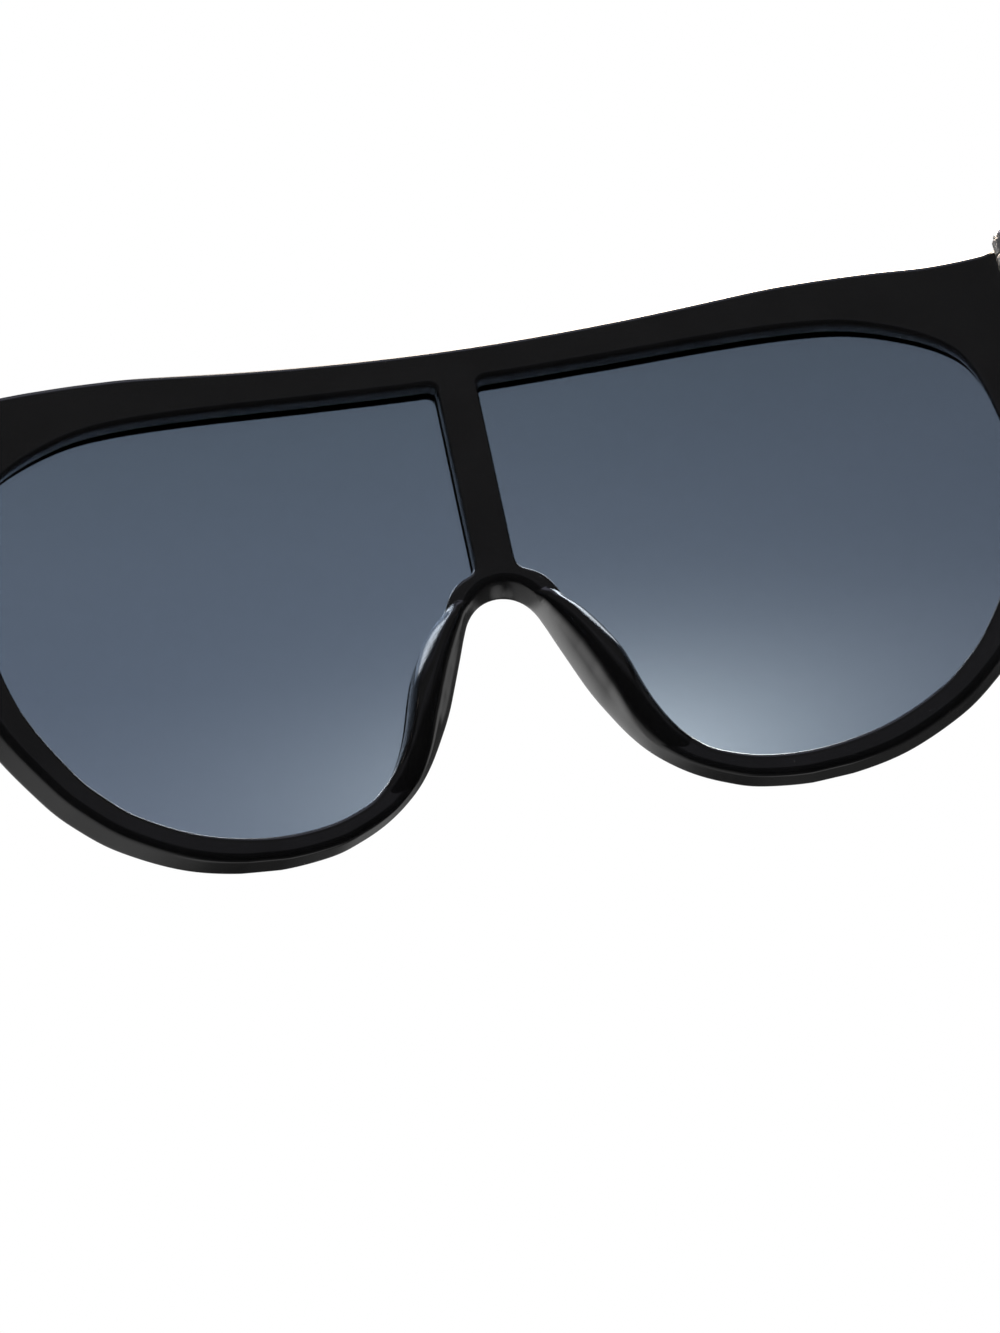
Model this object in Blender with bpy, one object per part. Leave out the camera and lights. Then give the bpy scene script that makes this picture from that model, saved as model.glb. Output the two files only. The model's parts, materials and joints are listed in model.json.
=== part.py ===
"""Full-rim sunglasses with a flat brow and a straight centre bar.

The part stands on its lower rims and temple tips: +Z is up, the front faces -Y and the temples
reach back to +Y. The origin is the middle of the box's floor. Lengths are in metres.
"""
import math

import bmesh
import bpy
from mathutils import Matrix, Vector, geometry

# Lens openings
lens_width = 0.0646
lens_height = 0.0577
bar_width = 0.0053
corner_radius = 0.0012

# Rim around the openings
lower_rim = 0.0030
side_rim = 0.0044
brow_height = 0.0048
brow_drop = 0.0051
end_tab_height = 0.0125
end_tab_fillet = 0.0042
standing_cut = 0.00008
front_depth = 0.0029
back_depth = 0.0026
edge_radius = 0.0008
outer_back_radius = 0.0009

# Nose gap
nose_gap_height = 0.0320
nose_gap_reach = 0.0228
nose_splay = 0.0015
splay_power = 1.8

# Curve of the front
front_radius = 0.159
end_turn_radius = 0.0072
end_turn_start = 0.0023
end_run = 0.0060

# Lens and its groove
lens_thickness = 0.0018
front_lip = 0.0010
lens_gap = 0.0002
groove_depth = 0.0013
lens_tongue = 0.0010
lens_grid = 0.0060

# Nose pads
pad_rise = 0.0024
pad_foot = 0.0003
pad_lift = 0.0002
pad_margin = 0.0003

# Temples
temple_run = 0.0820
temple_slope = math.radians(8)
ear_radius = 0.0380
ear_slope = math.radians(48)
temple_mid_height = 0.0084
temple_tip_height = 0.0096
temple_thickness = 0.0042
tip_thickness = 0.0036
tip_cut = 0.00040
temple_corner = 0.0013
slimming_share = 0.75
round_corner_share = 0.98
taper_start = 0.0100
taper_end = 0.0300
end_gap = 0.0003

# Core wire inside each temple
core_radius = 0.0007
core_clearance = 0.0003
core_end_gap = 0.0006
core_reach_share = 0.80

# Hinges
knuckle_radius = 0.0016
knuckle_height = 0.0020
middle_knuckle_height = 0.0022
knuckle_gap = 0.0002
bore_radius = 0.0008
face_clearance = 0.0002
leaf_thickness = 0.0010
leaf_start = 0.0018
leaf_length = 0.0042
seat_gap = 0.0003

# Hinge screws
screw_radius = 0.0006
screw_head_radius = 0.0013
screw_head_height = 0.0008
screw_slot_width = 0.0004
screw_slot_depth = 0.0004

# Rivets
rivet_radius = 0.0005
rivet_hole_radius = 0.0008
rivet_head_radius = 0.0011
rivet_head_height = 0.0005
rivet_inner_head_height = 0.0003
rivet_inner_head_radius = 0.0010
rivet_head_gap = 0.0002
rivet_spacing = 0.0042
head_top_share = 0.75
head_waist_share = 0.9
dome_top_share = 0.5

# Fineness of the meshes
smooth_angle = math.radians(35)
outline_step = 0.0022
round_segments = 2
cut_overrun = 0.0010
round_sides = 16
section_sides = 12
temple_step = 0.0050
tip_steps = 5

# Sizes that follow from the ones above
half_bar = bar_width / 2
lens_floor = lower_rim
lens_top = lens_floor + lens_height
front_top = lens_top + brow_height
end_tab_top = front_top - brow_drop
end_tab_floor = end_tab_top - end_tab_height
lens_outer = half_bar + lens_width
turn_begin = lens_outer + end_turn_start
turn_begin_angle = turn_begin / front_radius
turn_length = end_turn_radius * (math.pi / 2 - turn_begin_angle)
end_tab_reach = turn_begin + turn_length + end_run
hinge_height = (end_tab_top + end_tab_floor) / 2 - standing_cut
hinge_span = 2 * knuckle_height + 2 * knuckle_gap + middle_knuckle_height
groove_front = -front_depth + front_lip
groove_back = groove_front + lens_thickness + 2 * lens_gap

# Opening outline: share of the lens width from the bar, and share of its height
opening_top_shares = (
    (0.0, 1.0), (0.225, 0.998), (0.470, 0.9875), (0.658, 0.963),
    (0.784, 0.922), (0.911, 0.838), (0.972, 0.745),
)
# The same, and the share of the way from the lower rim to the side rim that the rim has there
opening_rim_shares = (
    (1.0, 0.581, 1.0), (0.991, 0.452, 1.0), (0.951, 0.305, 0.8), (0.871, 0.173, 0.43),
    (0.815, 0.112, 0.29), (0.748, 0.063, 0.18), (0.634, 0.017, 0.14), (0.504, 0.0, 0.0),
)
opening_nose_shares = (
    (0.393, 0.013), (0.310, 0.046), (0.270, 0.079), (0.239, 0.118), (0.212, 0.172), (0.194, 0.224),
    (0.178, 0.283), (0.162, 0.333), (0.1385, 0.383), (0.109, 0.428), (0.081, 0.459), (0.068, 0.487),
    (0.052, 0.513), (0.030, 0.531), (0.011, 0.541), (0.0015, 0.556),
)
bar_shares = ((0.0, 0.581), (0.0, 0.652), (0.0, 0.825))
# Nose gap outline: share of its reach from the middle, and share of its height
nose_gap_shares = (
    (0.0, 1.0), (0.074, 0.990), (0.136, 0.9625), (0.187, 0.917), (0.2255, 0.855), (0.266, 0.777),
    (0.331, 0.655), (0.383, 0.562), (0.447, 0.470), (0.550, 0.344), (0.663, 0.244), (0.8215, 0.150),
    (1.0, 0.080), (1.2, 0.030),
)
# Splay of the nose gap: share of the gap's height, and share of the full splay there
splay_shares = (
    (0.0, 0.0), (0.15, 0.0), (0.29, 0.33), (0.39, 0.60), (0.48, 0.87), (0.58, 1.0),
    (0.69, 0.95), (0.79, 0.80), (0.87, 0.63), (0.94, 0.53), (1.0, 0.55),
)
# Extra rows of the outer wall, as shares of its straight depth
wall_row_shares = (0.35, 0.70)
# Brow outline: share of the way out to the turned end, and share of the brow's drop
brow_shares = (
    (0.0, 0.0), (0.30, 0.0), (0.565, 0.04), (0.690, 0.18), (0.806, 0.43), (0.920, 0.75), (1.04, 0.93),
)
# Hollow under a turned end: shares of its fillet, out from the side and down from the end's floor
end_tab_fillet_shares = ((0.17, 1.0), (0.75, 0.14), (1.75, 0.0))
# Pad: share of the way along the nose, share of its full width, share of its full rise
pad_shares = (
    (0.0, 0.40, 0.12), (0.05, 0.74, 0.38), (0.13, 0.93, 0.64), (0.24, 1.0, 0.87), (0.36, 1.0, 1.0),
    (0.50, 1.0, 0.95), (0.68, 0.96, 0.66), (0.86, 0.82, 0.28), (1.0, 0.45, 0.04),
)
pad_section_shares = (0.0, 0.16, 0.34, 0.52, 0.70, 0.84, 0.95, 1.0)
pad_ridge_share = 0.70
pad_nose_power = 1.1
pad_lens_power = 0.6
pad_lens_first = 2
pad_lens_last = 12
pad_gap_first = 2
pad_gap_last = 12


def clear_scene():
    for existing in list(bpy.data.objects):
        bpy.data.objects.remove(existing)


def make_material(name, colour, roughness, metallic, alpha=1.0):
    material = bpy.data.materials.new(name)
    material.use_nodes = True
    shader = material.node_tree.nodes["Principled BSDF"]
    shader.inputs["Base Color"].default_value = (*colour, 1)
    shader.inputs["Roughness"].default_value = roughness
    shader.inputs["Metallic"].default_value = metallic
    shader.inputs["Alpha"].default_value = alpha
    return material


def make_object(name, bm, material, parent=None):
    """Stores a closed mesh with its faces turned out, and hangs it on its parent."""
    bmesh.ops.recalc_face_normals(bm, faces=bm.faces)
    mesh = bpy.data.meshes.new(name)
    bm.to_mesh(mesh)
    bm.free()
    mesh.materials.append(material)
    mesh.shade_smooth()
    mesh.set_sharp_from_angle(angle=smooth_angle)
    thing = bpy.data.objects.new(name, mesh)
    bpy.context.collection.objects.link(thing)
    if parent:
        thing.parent = parent
        thing.matrix_parent_inverse = parent.matrix_world.inverted()
    return thing


def combine(target, tool, operation):
    """Joins a tool into its target, or cuts it out. The tool itself isn't part of the model."""
    tool.hide_render = True
    tool.display_type = "WIRE"
    modifier = target.modifiers.new(tool.name, "BOOLEAN")
    modifier.operation = operation
    modifier.solver = "EXACT"
    modifier.object = tool


# Curves
def smooth_run(points, step):
    """Samples a curve through the points, about one step apart, both ends included."""
    before = points[0] * 2 - points[1]
    after = points[-1] * 2 - points[-2]
    padded = [before, *points, after]
    samples = []
    for i in range(1, len(padded) - 2):
        a, b, c, d = padded[i - 1:i + 3]
        count = max(1, round((c - b).length / step))
        for k in range(count):
            t = k / count
            samples.append(0.5 * (2 * b + (c - a) * t + (2 * a - 5 * b + 4 * c - d) * t ** 2
                                  + (3 * b - a - 3 * c + d) * t ** 3))
    samples.append(points[-1].copy())
    return samples


def fillet(before, corner, after, radius):
    """The arc that rounds a corner between two straight sides."""
    to_before = (before - corner).normalized()
    to_after = (after - corner).normalized()
    half_angle = to_before.angle(to_after) / 2
    reach = radius / math.tan(half_angle)
    centre = corner + (to_before + to_after).normalized() * radius / math.sin(half_angle)
    start = corner + to_before * reach - centre
    end = corner + to_after * reach - centre
    steps = round_segments + 1
    return reach, [centre + start.slerp(end, k / steps) * radius for k in range(steps + 1)]


def join_runs(runs, radius):
    """Joins curve runs end to end into one loop, each corner rounded with an arc."""
    loop = []
    reaches = []
    arcs = []
    for run, following in zip(runs, [*runs[1:], runs[0]]):
        reach, arc = fillet(run[-2], run[-1], following[1], radius)
        reaches.append(reach)
        arcs.append(arc)
    for i, run in enumerate(runs):
        start_reach = reaches[i - 1]
        end_reach = reaches[i]
        for point in run[1:-1]:
            clear_of_start = (point - run[0]).length > start_reach + radius
            clear_of_end = (point - run[-1]).length > end_reach + radius
            if clear_of_start and clear_of_end:
                loop.append(point)
        loop.extend(arcs[i])
    return loop


def opening_points(shares):
    """Points of the right-hand opening's outline."""
    return [Vector((half_bar + row[0] * lens_width, lens_floor + row[1] * lens_height)) for row in shares]


def opening_shares():
    """All of the opening's shares, from the bar's top corner round and back to it."""
    return [*opening_top_shares, *opening_rim_shares, *opening_nose_shares, *bar_shares]


def opening_loop():
    points = opening_points(opening_shares())
    return join_runs([smooth_run([*points, points[0].copy()], outline_step)], corner_radius)


def rim_points():
    """Control points of the rim's outer edge, from the nose gap round to the side, each a rim away."""
    points = opening_points(opening_shares())
    first = len(opening_top_shares)
    outer = []
    for k, row in enumerate(opening_rim_shares):
        along = (points[first + k + 1] - points[first + k - 1]).normalized()
        away = Vector((-along.y, along.x))
        outer.append(points[first + k] + away * (lower_rim + (side_rim - lower_rim) * row[2]))
    return outer[::-1]


def gap_points():
    """Control points of the nose gap's edge, from its top down to the lower rim."""
    return [Vector((out * nose_gap_reach, up * nose_gap_height)) for out, up in nose_gap_shares]


def front_loop():
    """The front's outer edge: nose gap and lower rims, turned ends and brow."""
    gap = gap_points()
    rim = rim_points()
    side = rim[-1].x
    shoulder = [Vector((side + out * end_tab_fillet, end_tab_floor - down * end_tab_fillet))
                for out, down in end_tab_fillet_shares]
    corner = Vector((end_tab_reach, end_tab_floor))
    half = [*gap[1:], *rim, *shoulder, corner]
    mirrored = [Vector((-p.x, p.y)) for p in half[::-1]]
    lower = smooth_run([*mirrored, gap[0], *half], outline_step)
    for point in lower:
        point.y = max(point.y, standing_cut)
    top_corner = Vector((end_tab_reach, end_tab_top))
    brow = [Vector((out * turn_begin, front_top - drop * brow_drop)) for out, drop in brow_shares]
    left_brow = [Vector((-p.x, p.y)) for p in [*brow[1:], top_corner]]
    brow = [top_corner, *brow[::-1], *left_brow]
    right_end = smooth_run([corner, top_corner], outline_step)
    left_end = [Vector((-p.x, p.y)) for p in right_end[::-1]]
    return join_runs([lower, right_end, smooth_run(brow, outline_step), left_end], corner_radius)


# Solids of the front
def on_front(across, up, back):
    """Puts a point of the flat pattern on the curved front: out from the middle, up, and back."""
    out = abs(across)
    angle = min(out, turn_begin) / front_radius
    x = front_radius * math.sin(angle)
    y = front_radius * (1 - math.cos(angle))
    if out > turn_begin:
        begin = angle
        angle = min(begin + (out - turn_begin) / end_turn_radius, math.pi / 2)
        x += end_turn_radius * (math.sin(angle) - math.sin(begin))
        y += end_turn_radius * (math.cos(begin) - math.cos(angle))
        y += max(0, out - turn_begin - turn_length)
    x -= back * math.sin(angle)
    y += back * math.cos(angle)
    return Vector((math.copysign(x, across), y, up - standing_cut))


def inward(loop):
    """A unit vector at each point of a loop, pointing to its left as the loop runs."""
    vectors = []
    for i in range(len(loop)):
        along = (loop[(i + 1) % len(loop)] - loop[i - 1]).normalized()
        vectors.append(Vector((-along.y, along.x)))
    return vectors


def wall_splay(depth):
    """Splay of the nose gap's wall at a depth: none at the front, and ever more towards the back."""
    return nose_splay * ((depth + front_depth) / (back_depth + front_depth)) ** splay_power


def rounded_profile(front_radius_here, back_radius_here):
    """Rows of a rounded edge from the front face to the back face: inset and depth."""
    rows = []
    for k in range(round_segments + 1):
        angle = k / round_segments * math.pi / 2
        inset = front_radius_here * (1 - math.sin(angle))
        rows.append((inset, -front_depth + front_radius_here * (1 - math.cos(angle))))
    back = []
    for k in range(round_segments + 1):
        angle = k / round_segments * math.pi / 2
        inset = back_radius_here * (1 - math.cos(angle))
        back.append((inset, back_depth - back_radius_here * (1 - math.sin(angle))))
    return rows, back


def nose_share(point):
    """How much of the splay a point of the outer edge takes: most beside the nose, none off the gap."""
    if abs(point.x) > nose_gap_reach or point.y > lens_top:
        return 0
    height = point.y / nose_gap_height
    for (low, share), (high, next_share) in zip(splay_shares, splay_shares[1:]):
        if height <= high:
            return share + (next_share - share) * (height - low) / (high - low)
    return splay_shares[-1][1]


def inside(point, loop):
    """Whether a point lies inside a loop, by counting the sides to its right."""
    crossings = 0
    for i in range(len(loop)):
        a, b = loop[i - 1], loop[i]
        if (a.y > point.y) != (b.y > point.y):
            if point.x < a.x + (point.y - a.y) / (b.y - a.y) * (b.x - a.x):
                crossings += 1
    return crossings % 2 == 1


def add_rows(bm, loop, rows, share):
    """Adds one ring of vertices for each row, and the walls between neighbouring rings."""
    vectors = inward(loop)
    rings = []
    flat_rings = []
    for inset, depth in rows:
        splay = wall_splay(depth)
        flat = [p + v * (inset + splay * share(p)) for p, v in zip(loop, vectors)]
        flat_rings.append(flat)
        rings.append([bm.verts.new(on_front(p.x, p.y, depth)) for p in flat])
    for lower, upper in zip(rings, rings[1:]):
        for i in range(len(loop)):
            bm.faces.new((lower[i - 1], lower[i], upper[i], upper[i - 1]))
    return rings, flat_rings


def fill_face(bm, rings, flats, keep, extra=()):
    """Fills the flat pattern between rings with triangles, and keeps those whose middle passes."""
    flat_points = [p for flat in flats for p in flat]
    vertices = [v for ring in rings for v in ring]
    edges = []
    start = 0
    for flat in flats:
        edges.extend((start + i, start + (i + 1) % len(flat)) for i in range(len(flat)))
        start += len(flat)
    for point, vertex in extra:
        flat_points.append(point)
        vertices.append(vertex)
    filled = geometry.delaunay_2d_cdt(flat_points, edges, [], 0, 0)
    filled_points, triangles, origins = filled[0], filled[2], filled[3]
    for triangle in triangles:
        middle = sum((filled_points[i] for i in triangle), Vector((0, 0))) / len(triangle)
        if keep(middle):
            bm.faces.new([vertices[origins[i][0]] for i in triangle])


def build_front(material):
    outer = front_loop()
    right = opening_loop()
    left = [Vector((-p.x, p.y)) for p in right[::-1]]
    front_rows, back_rows = rounded_profile(edge_radius, outer_back_radius)
    low = front_rows[-1][1]
    high = back_rows[0][1]
    outer_rows = front_rows + [(0, low + (high - low) * share) for share in wall_row_shares] + back_rows
    front_rows, back_rows = rounded_profile(edge_radius, edge_radius)
    groove = [(0, groove_front), (groove_depth, groove_front), (groove_depth, groove_back), (0, groove_back)]
    opening_rows = front_rows + groove + back_rows
    bm = bmesh.new()
    sets = [add_rows(bm, outer, outer_rows, nose_share)]
    sets += [add_rows(bm, loop, opening_rows, lambda point: 0) for loop in (right, left)]
    for row in (0, -1):
        flats = [flat[row] for rings, flat in sets]
        fill_face(bm, [rings[row] for rings, flat in sets], flats,
                  lambda p, f=flats: inside(p, f[0]) and not inside(p, f[1]) and not inside(p, f[2]))
    return make_object("frame_front", bm, material)


def build_lens(side, material):
    """A curved lens whose edge sits in the rim's groove."""
    loop = opening_loop()
    flat = [p + v * lens_tongue for p, v in zip(loop, inward(loop))]
    flat = [Vector((side * p.x, p.y)) for p in flat]
    shell = [Vector((side * p.x, p.y)) for p in loop]
    columns = math.ceil(lens_width / lens_grid)
    rows = math.ceil(lens_height / lens_grid / 2)
    grid = []
    for i in range(1, columns):
        for k in range(1, rows):
            across = half_bar + i / columns * lens_width
            point = Vector((side * across, lens_floor + k / rows * lens_height))
            if inside(point, shell) and min((point - p).length for p in shell) > outline_step:
                grid.append(point)
    bm = bmesh.new()
    rings = []
    for depth in (groove_front + lens_gap, groove_back - lens_gap):
        ring = [bm.verts.new(on_front(p.x, p.y, depth)) for p in flat]
        extra = [(p, bm.verts.new(on_front(p.x, p.y, depth))) for p in grid]
        fill_face(bm, [ring], [flat], lambda p: inside(p, flat), extra)
        rings.append(ring)
    for i in range(len(flat)):
        bm.faces.new((rings[0][i - 1], rings[0][i], rings[1][i], rings[1][i - 1]))
    return make_object(f"lens_{side_name(side)}", bm, material)


def side_name(side):
    """The wearer's left is +X, because the front faces -Y."""
    return "left" if side > 0 else "right"


def pad_bulge(share):
    """Height of a pad's section as a share of its rise: a slope from the nose, then a round shoulder."""
    if share < pad_ridge_share:
        return math.sin(math.pi / 2 * share / pad_ridge_share) ** pad_nose_power
    return math.cos(math.pi / 2 * (share - pad_ridge_share) / (1 - pad_ridge_share)) ** pad_lens_power


def build_pad(side, material):
    """A nose pad on the back of the rim beside the nose gap, with its ridge towards the lens."""
    lens_points = opening_points(opening_nose_shares)[pad_lens_first:pad_lens_last]
    lens_side = smooth_run(lens_points[::-1], outline_step)
    nose_side = smooth_run(gap_points()[pad_gap_first:pad_gap_last], outline_step)
    bm = bmesh.new()
    rings = []
    base = back_depth + pad_lift
    for along, width, rise in pad_shares:
        lens_point = sample(lens_side, along)
        nose_point = sample(nose_side, along)
        across = (lens_point - nose_point).normalized()
        nose_point = nose_point + across * (nose_splay * nose_share(nose_point) + pad_margin)
        reach = (lens_point - nose_point).length - pad_margin
        ring = []
        for share in pad_section_shares:
            bulge = pad_bulge(share)
            spot = nose_point + across * (reach * (1 - width) / 2 + reach * width * share)
            ring.append(on_front(side * spot.x, spot.y, base + pad_foot + pad_rise * rise * bulge))
        for share in pad_section_shares[::-1]:
            spot = nose_point + across * (reach * (1 - width) / 2 + reach * width * share)
            ring.append(on_front(side * spot.x, spot.y, base))
        rings.append([bm.verts.new(p) for p in ring])
    loft(bm, rings)
    return make_object(f"nose_pad_{side_name(side)}", bm, material)


def sample(run, share):
    """The point at a share of the way through a run of points."""
    place = share * (len(run) - 1)
    index = min(int(place), len(run) - 2)
    return run[index].lerp(run[index + 1], place - index)


def loft(bm, rings):
    """Walls between neighbouring rings, and a cap on each end."""
    for lower, upper in zip(rings, rings[1:]):
        for i in range(len(lower)):
            bm.faces.new((lower[i - 1], lower[i], upper[i], upper[i - 1]))
    bm.faces.new(rings[0])
    bm.faces.new(rings[-1][::-1])


# Temples
def temple_line(distance):
    """A point of the temple's middle line in the side view, and the slope there."""
    start = Vector((butt_y() + end_gap, hinge_height))
    ear_length = ear_radius * (ear_slope - temple_slope)
    run = min(distance, temple_run)
    point = start + Vector((math.cos(temple_slope), -math.sin(temple_slope))) * run
    bend = min(max(distance - temple_run, 0), ear_length)
    slope = temple_slope + bend / ear_radius
    point.x += ear_radius * (math.sin(slope) - math.sin(temple_slope))
    point.y -= ear_radius * (math.cos(temple_slope) - math.cos(slope))
    rest = max(distance - temple_run - ear_length, 0)
    point += Vector((math.cos(slope), -math.sin(slope))) * rest
    return point, slope


def section_tilt(distance):
    """Tilt of a section: upright where it meets the front, then square to the middle line."""
    return blend(0, temple_line(distance)[1], distance / taper_start)


def temple_length():
    """Length of the middle line at which the round tip just reaches the ground."""
    ear_length = ear_radius * (ear_slope - temple_slope)
    point, slope = temple_line(temple_run + ear_length)
    drop = point.y - temple_tip_height / 2 + tip_cut
    return temple_run + ear_length + drop / math.sin(slope)


def blend(a, b, share):
    """Eases from a to b as the share goes from 0 to 1."""
    share = min(1, max(0, share))
    return a + (b - a) * share * share * (3 - 2 * share)


def temple_size(distance):
    """Height and thickness of the temple at a distance along it."""
    length = temple_length()
    height = blend(end_tab_height, temple_mid_height, distance / (temple_run * slimming_share))
    height = blend(height, temple_tip_height, (distance - temple_run) / (length - temple_run))
    taper = (distance - taper_start) / (taper_end - taper_start)
    thickness = blend(front_depth + back_depth, temple_thickness, taper)
    thickness = blend(thickness, tip_thickness, (distance - temple_run) / (length - temple_run))
    return height, thickness


def butt_y():
    """Depth of the turned ends' flat faces, which the temples meet."""
    return on_front(end_tab_reach, 0, 0).y


def inner_x():
    """Distance from the middle to the flat inner side of a turned end."""
    return on_front(end_tab_reach, 0, back_depth).x


def section(side, distance, height, thickness, corner):
    """A rounded rectangle across the temple, flush with the turned end's inner side."""
    centre = temple_line(distance)[0]
    tilt = section_tilt(distance)
    per_corner = section_sides // 4
    ring = []
    for quarter in range(4):
        sign_x = (1, -1, -1, 1)[quarter]
        sign_z = (1, 1, -1, -1)[quarter]
        for k in range(per_corner):
            angle = (quarter + k / (per_corner - 1)) * math.pi / 2
            out = sign_x * (thickness / 2 - corner) + corner * math.cos(angle)
            up = sign_z * (height / 2 - corner) + corner * math.sin(angle)
            x = inner_x() + thickness / 2 + out
            y = centre.x + up * math.sin(tilt)
            z = centre.y + up * math.cos(tilt)
            ring.append(Vector((side * x, y, max(z, 0))))
    return ring


def temple_stations():
    """Distances along the temple with the share of the full height that its round tip leaves."""
    length = temple_length()
    steps = round(length / temple_step)
    stations = [(length * k / steps, 1.0) for k in range(steps)]
    for k in range(tip_steps + 1):
        angle = k / (tip_steps + 1) * math.pi / 2
        stations.append((length + temple_tip_height / 2 * math.sin(angle), math.cos(angle)))
    return stations


def core_ring(side, distance, radius):
    """A circle round the temple's middle line, for the core wire and the bore it lies in."""
    centre = temple_line(distance)[0]
    tilt = section_tilt(distance)
    thickness = temple_size(distance)[1]
    ring = []
    for k in range(section_sides):
        angle = (k / section_sides + 1 / section_sides / 2) * 2 * math.pi
        up = radius * math.sin(angle)
        x = inner_x() + thickness / 2 + radius * math.cos(angle)
        ring.append(Vector((side * x, centre.x + up * math.sin(tilt), centre.y + up * math.cos(tilt))))
    return ring


def core_distances(start):
    """Places along the core's bore, from its start to its blind end."""
    end = temple_length() * core_reach_share
    count = round((end - start) / temple_step)
    return [start + (end - start) * k / count for k in range(count + 1)]


def build_temple(side, material, parent):
    """A temple with a blind bore that opens at its front end."""
    bm = bmesh.new()
    outer = []
    for distance, share in temple_stations():
        height, thickness = temple_size(distance)
        height *= share
        thickness *= (1 + share) / 2
        corner = min(temple_corner, round_corner_share * height / 2, round_corner_share * thickness / 2)
        outer.append([bm.verts.new(p) for p in section(side, distance, height, thickness, corner)])
    bore = []
    for distance in core_distances(0):
        ring = core_ring(side, distance, core_radius + core_clearance)
        bore.append([bm.verts.new(p) for p in ring])
    for rings in (outer, bore):
        for lower, upper in zip(rings, rings[1:]):
            for i in range(len(lower)):
                bm.faces.new((lower[i - 1], lower[i], upper[i], upper[i - 1]))
        bm.faces.new(rings[-1])
    for i in range(section_sides):
        bm.faces.new((outer[0][i - 1], outer[0][i], bore[0][i], bore[0][i - 1]))
    return make_object(f"temple_{side_name(side)}", bm, material, parent)


def build_core(side, material, parent):
    bm = bmesh.new()
    places = core_distances(core_end_gap)
    places[-1] -= core_end_gap
    loft(bm, [[bm.verts.new(p) for p in core_ring(side, distance, core_radius)] for distance in places])
    return make_object(f"temple_core_{side_name(side)}", bm, material, parent)


# Hinges, screws and rivets
def hinge_axis(side):
    """Middle of a hinge's axis, in the gap between the front's end and the temple."""
    x = inner_x() - face_clearance - knuckle_radius
    return Vector((side * x, butt_y() + end_gap / 2, hinge_height))


def box(bm, low, high):
    middle = (low + high) / 2
    size = high - low
    matrix = Matrix.Translation(middle) @ Matrix.Diagonal((*size, 1))
    bmesh.ops.create_cube(bm, size=1, matrix=matrix)


def rod(bm, centre, radius, length, turn=None):
    """A round rod along Z, or turned to another direction."""
    matrix = Matrix.Translation(centre) @ (turn or Matrix())
    bmesh.ops.create_cone(bm, cap_ends=True, segments=round_sides, radius1=radius, radius2=radius,
                          depth=length, matrix=matrix)


def box_between(name, corner_a, corner_b, material):
    bm = bmesh.new()
    low = Vector(tuple(min(a, b) for a, b in zip(corner_a, corner_b)))
    high = Vector(tuple(max(a, b) for a, b in zip(corner_a, corner_b)))
    box(bm, low, high)
    return make_object(name, bm, material)


def rod_object(name, centre, radius, length, material, turn=None):
    bm = bmesh.new()
    rod(bm, centre, radius, length, turn)
    return make_object(name, bm, material)


def turned_object(name, profile, matrix, material, parent=None):
    """A solid turned round its own Z axis. The profile gives heights and the radius at each."""
    bm = bmesh.new()
    rings = []
    for height, radius in profile:
        ring = []
        for k in range(round_sides):
            angle = k / round_sides * 2 * math.pi
            point = Vector((radius * math.cos(angle), radius * math.sin(angle), height))
            ring.append(bm.verts.new(matrix @ point))
        rings.append(ring)
    loft(bm, rings)
    return make_object(name, bm, material, parent)


def hinge_outlines():
    """A hinge leaf and its knuckle seen from above: offsets from the axis, out to the side and along."""
    back = knuckle_radius + face_clearance - seat_gap
    face = back - leaf_thickness
    leaf_end = leaf_start + leaf_length
    leaf = [(back, leaf_start), (back, leaf_end), (face, leaf_end), (face, leaf_start)]
    begin = math.acos(face / knuckle_radius)
    turn = 2 * math.pi + math.acos(back / knuckle_radius) - begin
    angles = [begin + turn * k / round_sides for k in range(round_sides + 1)]
    knuckle = [(knuckle_radius * math.cos(angle), knuckle_radius * math.sin(angle)) for angle in angles]
    return leaf, knuckle


def build_hinge(name, side, way, layers, material, parent=None):
    """A hinge half: a leaf on the plastic that runs on into knuckles round the screw.

    way is -1 for the front's half and 1 for the temple's. A layer is its height, and whether the
    leaf runs on into a knuckle there.
    """
    axis = hinge_axis(side)
    leaf, knuckle = hinge_outlines()
    level = -hinge_span / 2
    bm = bmesh.new()
    lower = hinge_ring(bm, axis, side, way, leaf, level)
    bm.faces.new(lower)
    for height, has_knuckle in layers:
        low_end = [lower[3], lower[0]]
        if has_knuckle:
            low_end[1:1] = hinge_ring(bm, axis, side, way, knuckle, level)
        level += height
        upper = hinge_ring(bm, axis, side, way, leaf, level)
        high_end = [upper[3], upper[0]]
        if has_knuckle:
            high_end[1:1] = hinge_ring(bm, axis, side, way, knuckle, level)
            bm.faces.new(low_end)
            bm.faces.new(high_end)
        for low, high in ((lower, upper), (low_end, high_end)):
            for i in range(1, len(low)):
                bm.faces.new((low[i - 1], low[i], high[i], high[i - 1]))
        lower = upper
    bm.faces.new(lower)
    hinge = make_object(name, bm, material)
    bore = rod_object(f"{name}_bore", axis, bore_radius, hinge_span + cut_overrun, material)
    combine(hinge, bore, "DIFFERENCE")
    for number, centre in enumerate(rivet_places(side, way)):
        reach = 2 * (seat_gap + leaf_thickness + cut_overrun)
        tool = rod_object(f"{name}_hole_{number}", centre, rivet_hole_radius, reach, material, along_x())
        combine(hinge, tool, "DIFFERENCE")
    if parent:
        hinge.parent = parent
        hinge.matrix_parent_inverse = parent.matrix_world.inverted()
    return hinge


def hinge_ring(bm, axis, side, way, outline, level):
    return [bm.verts.new(axis + Vector((side * out, way * along, level))) for out, along in outline]


def along_x():
    return Matrix.Rotation(math.pi / 2, 4, "Y")


def side_depth():
    """Thickness of the plastic at the hinges."""
    return front_depth + back_depth


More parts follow.
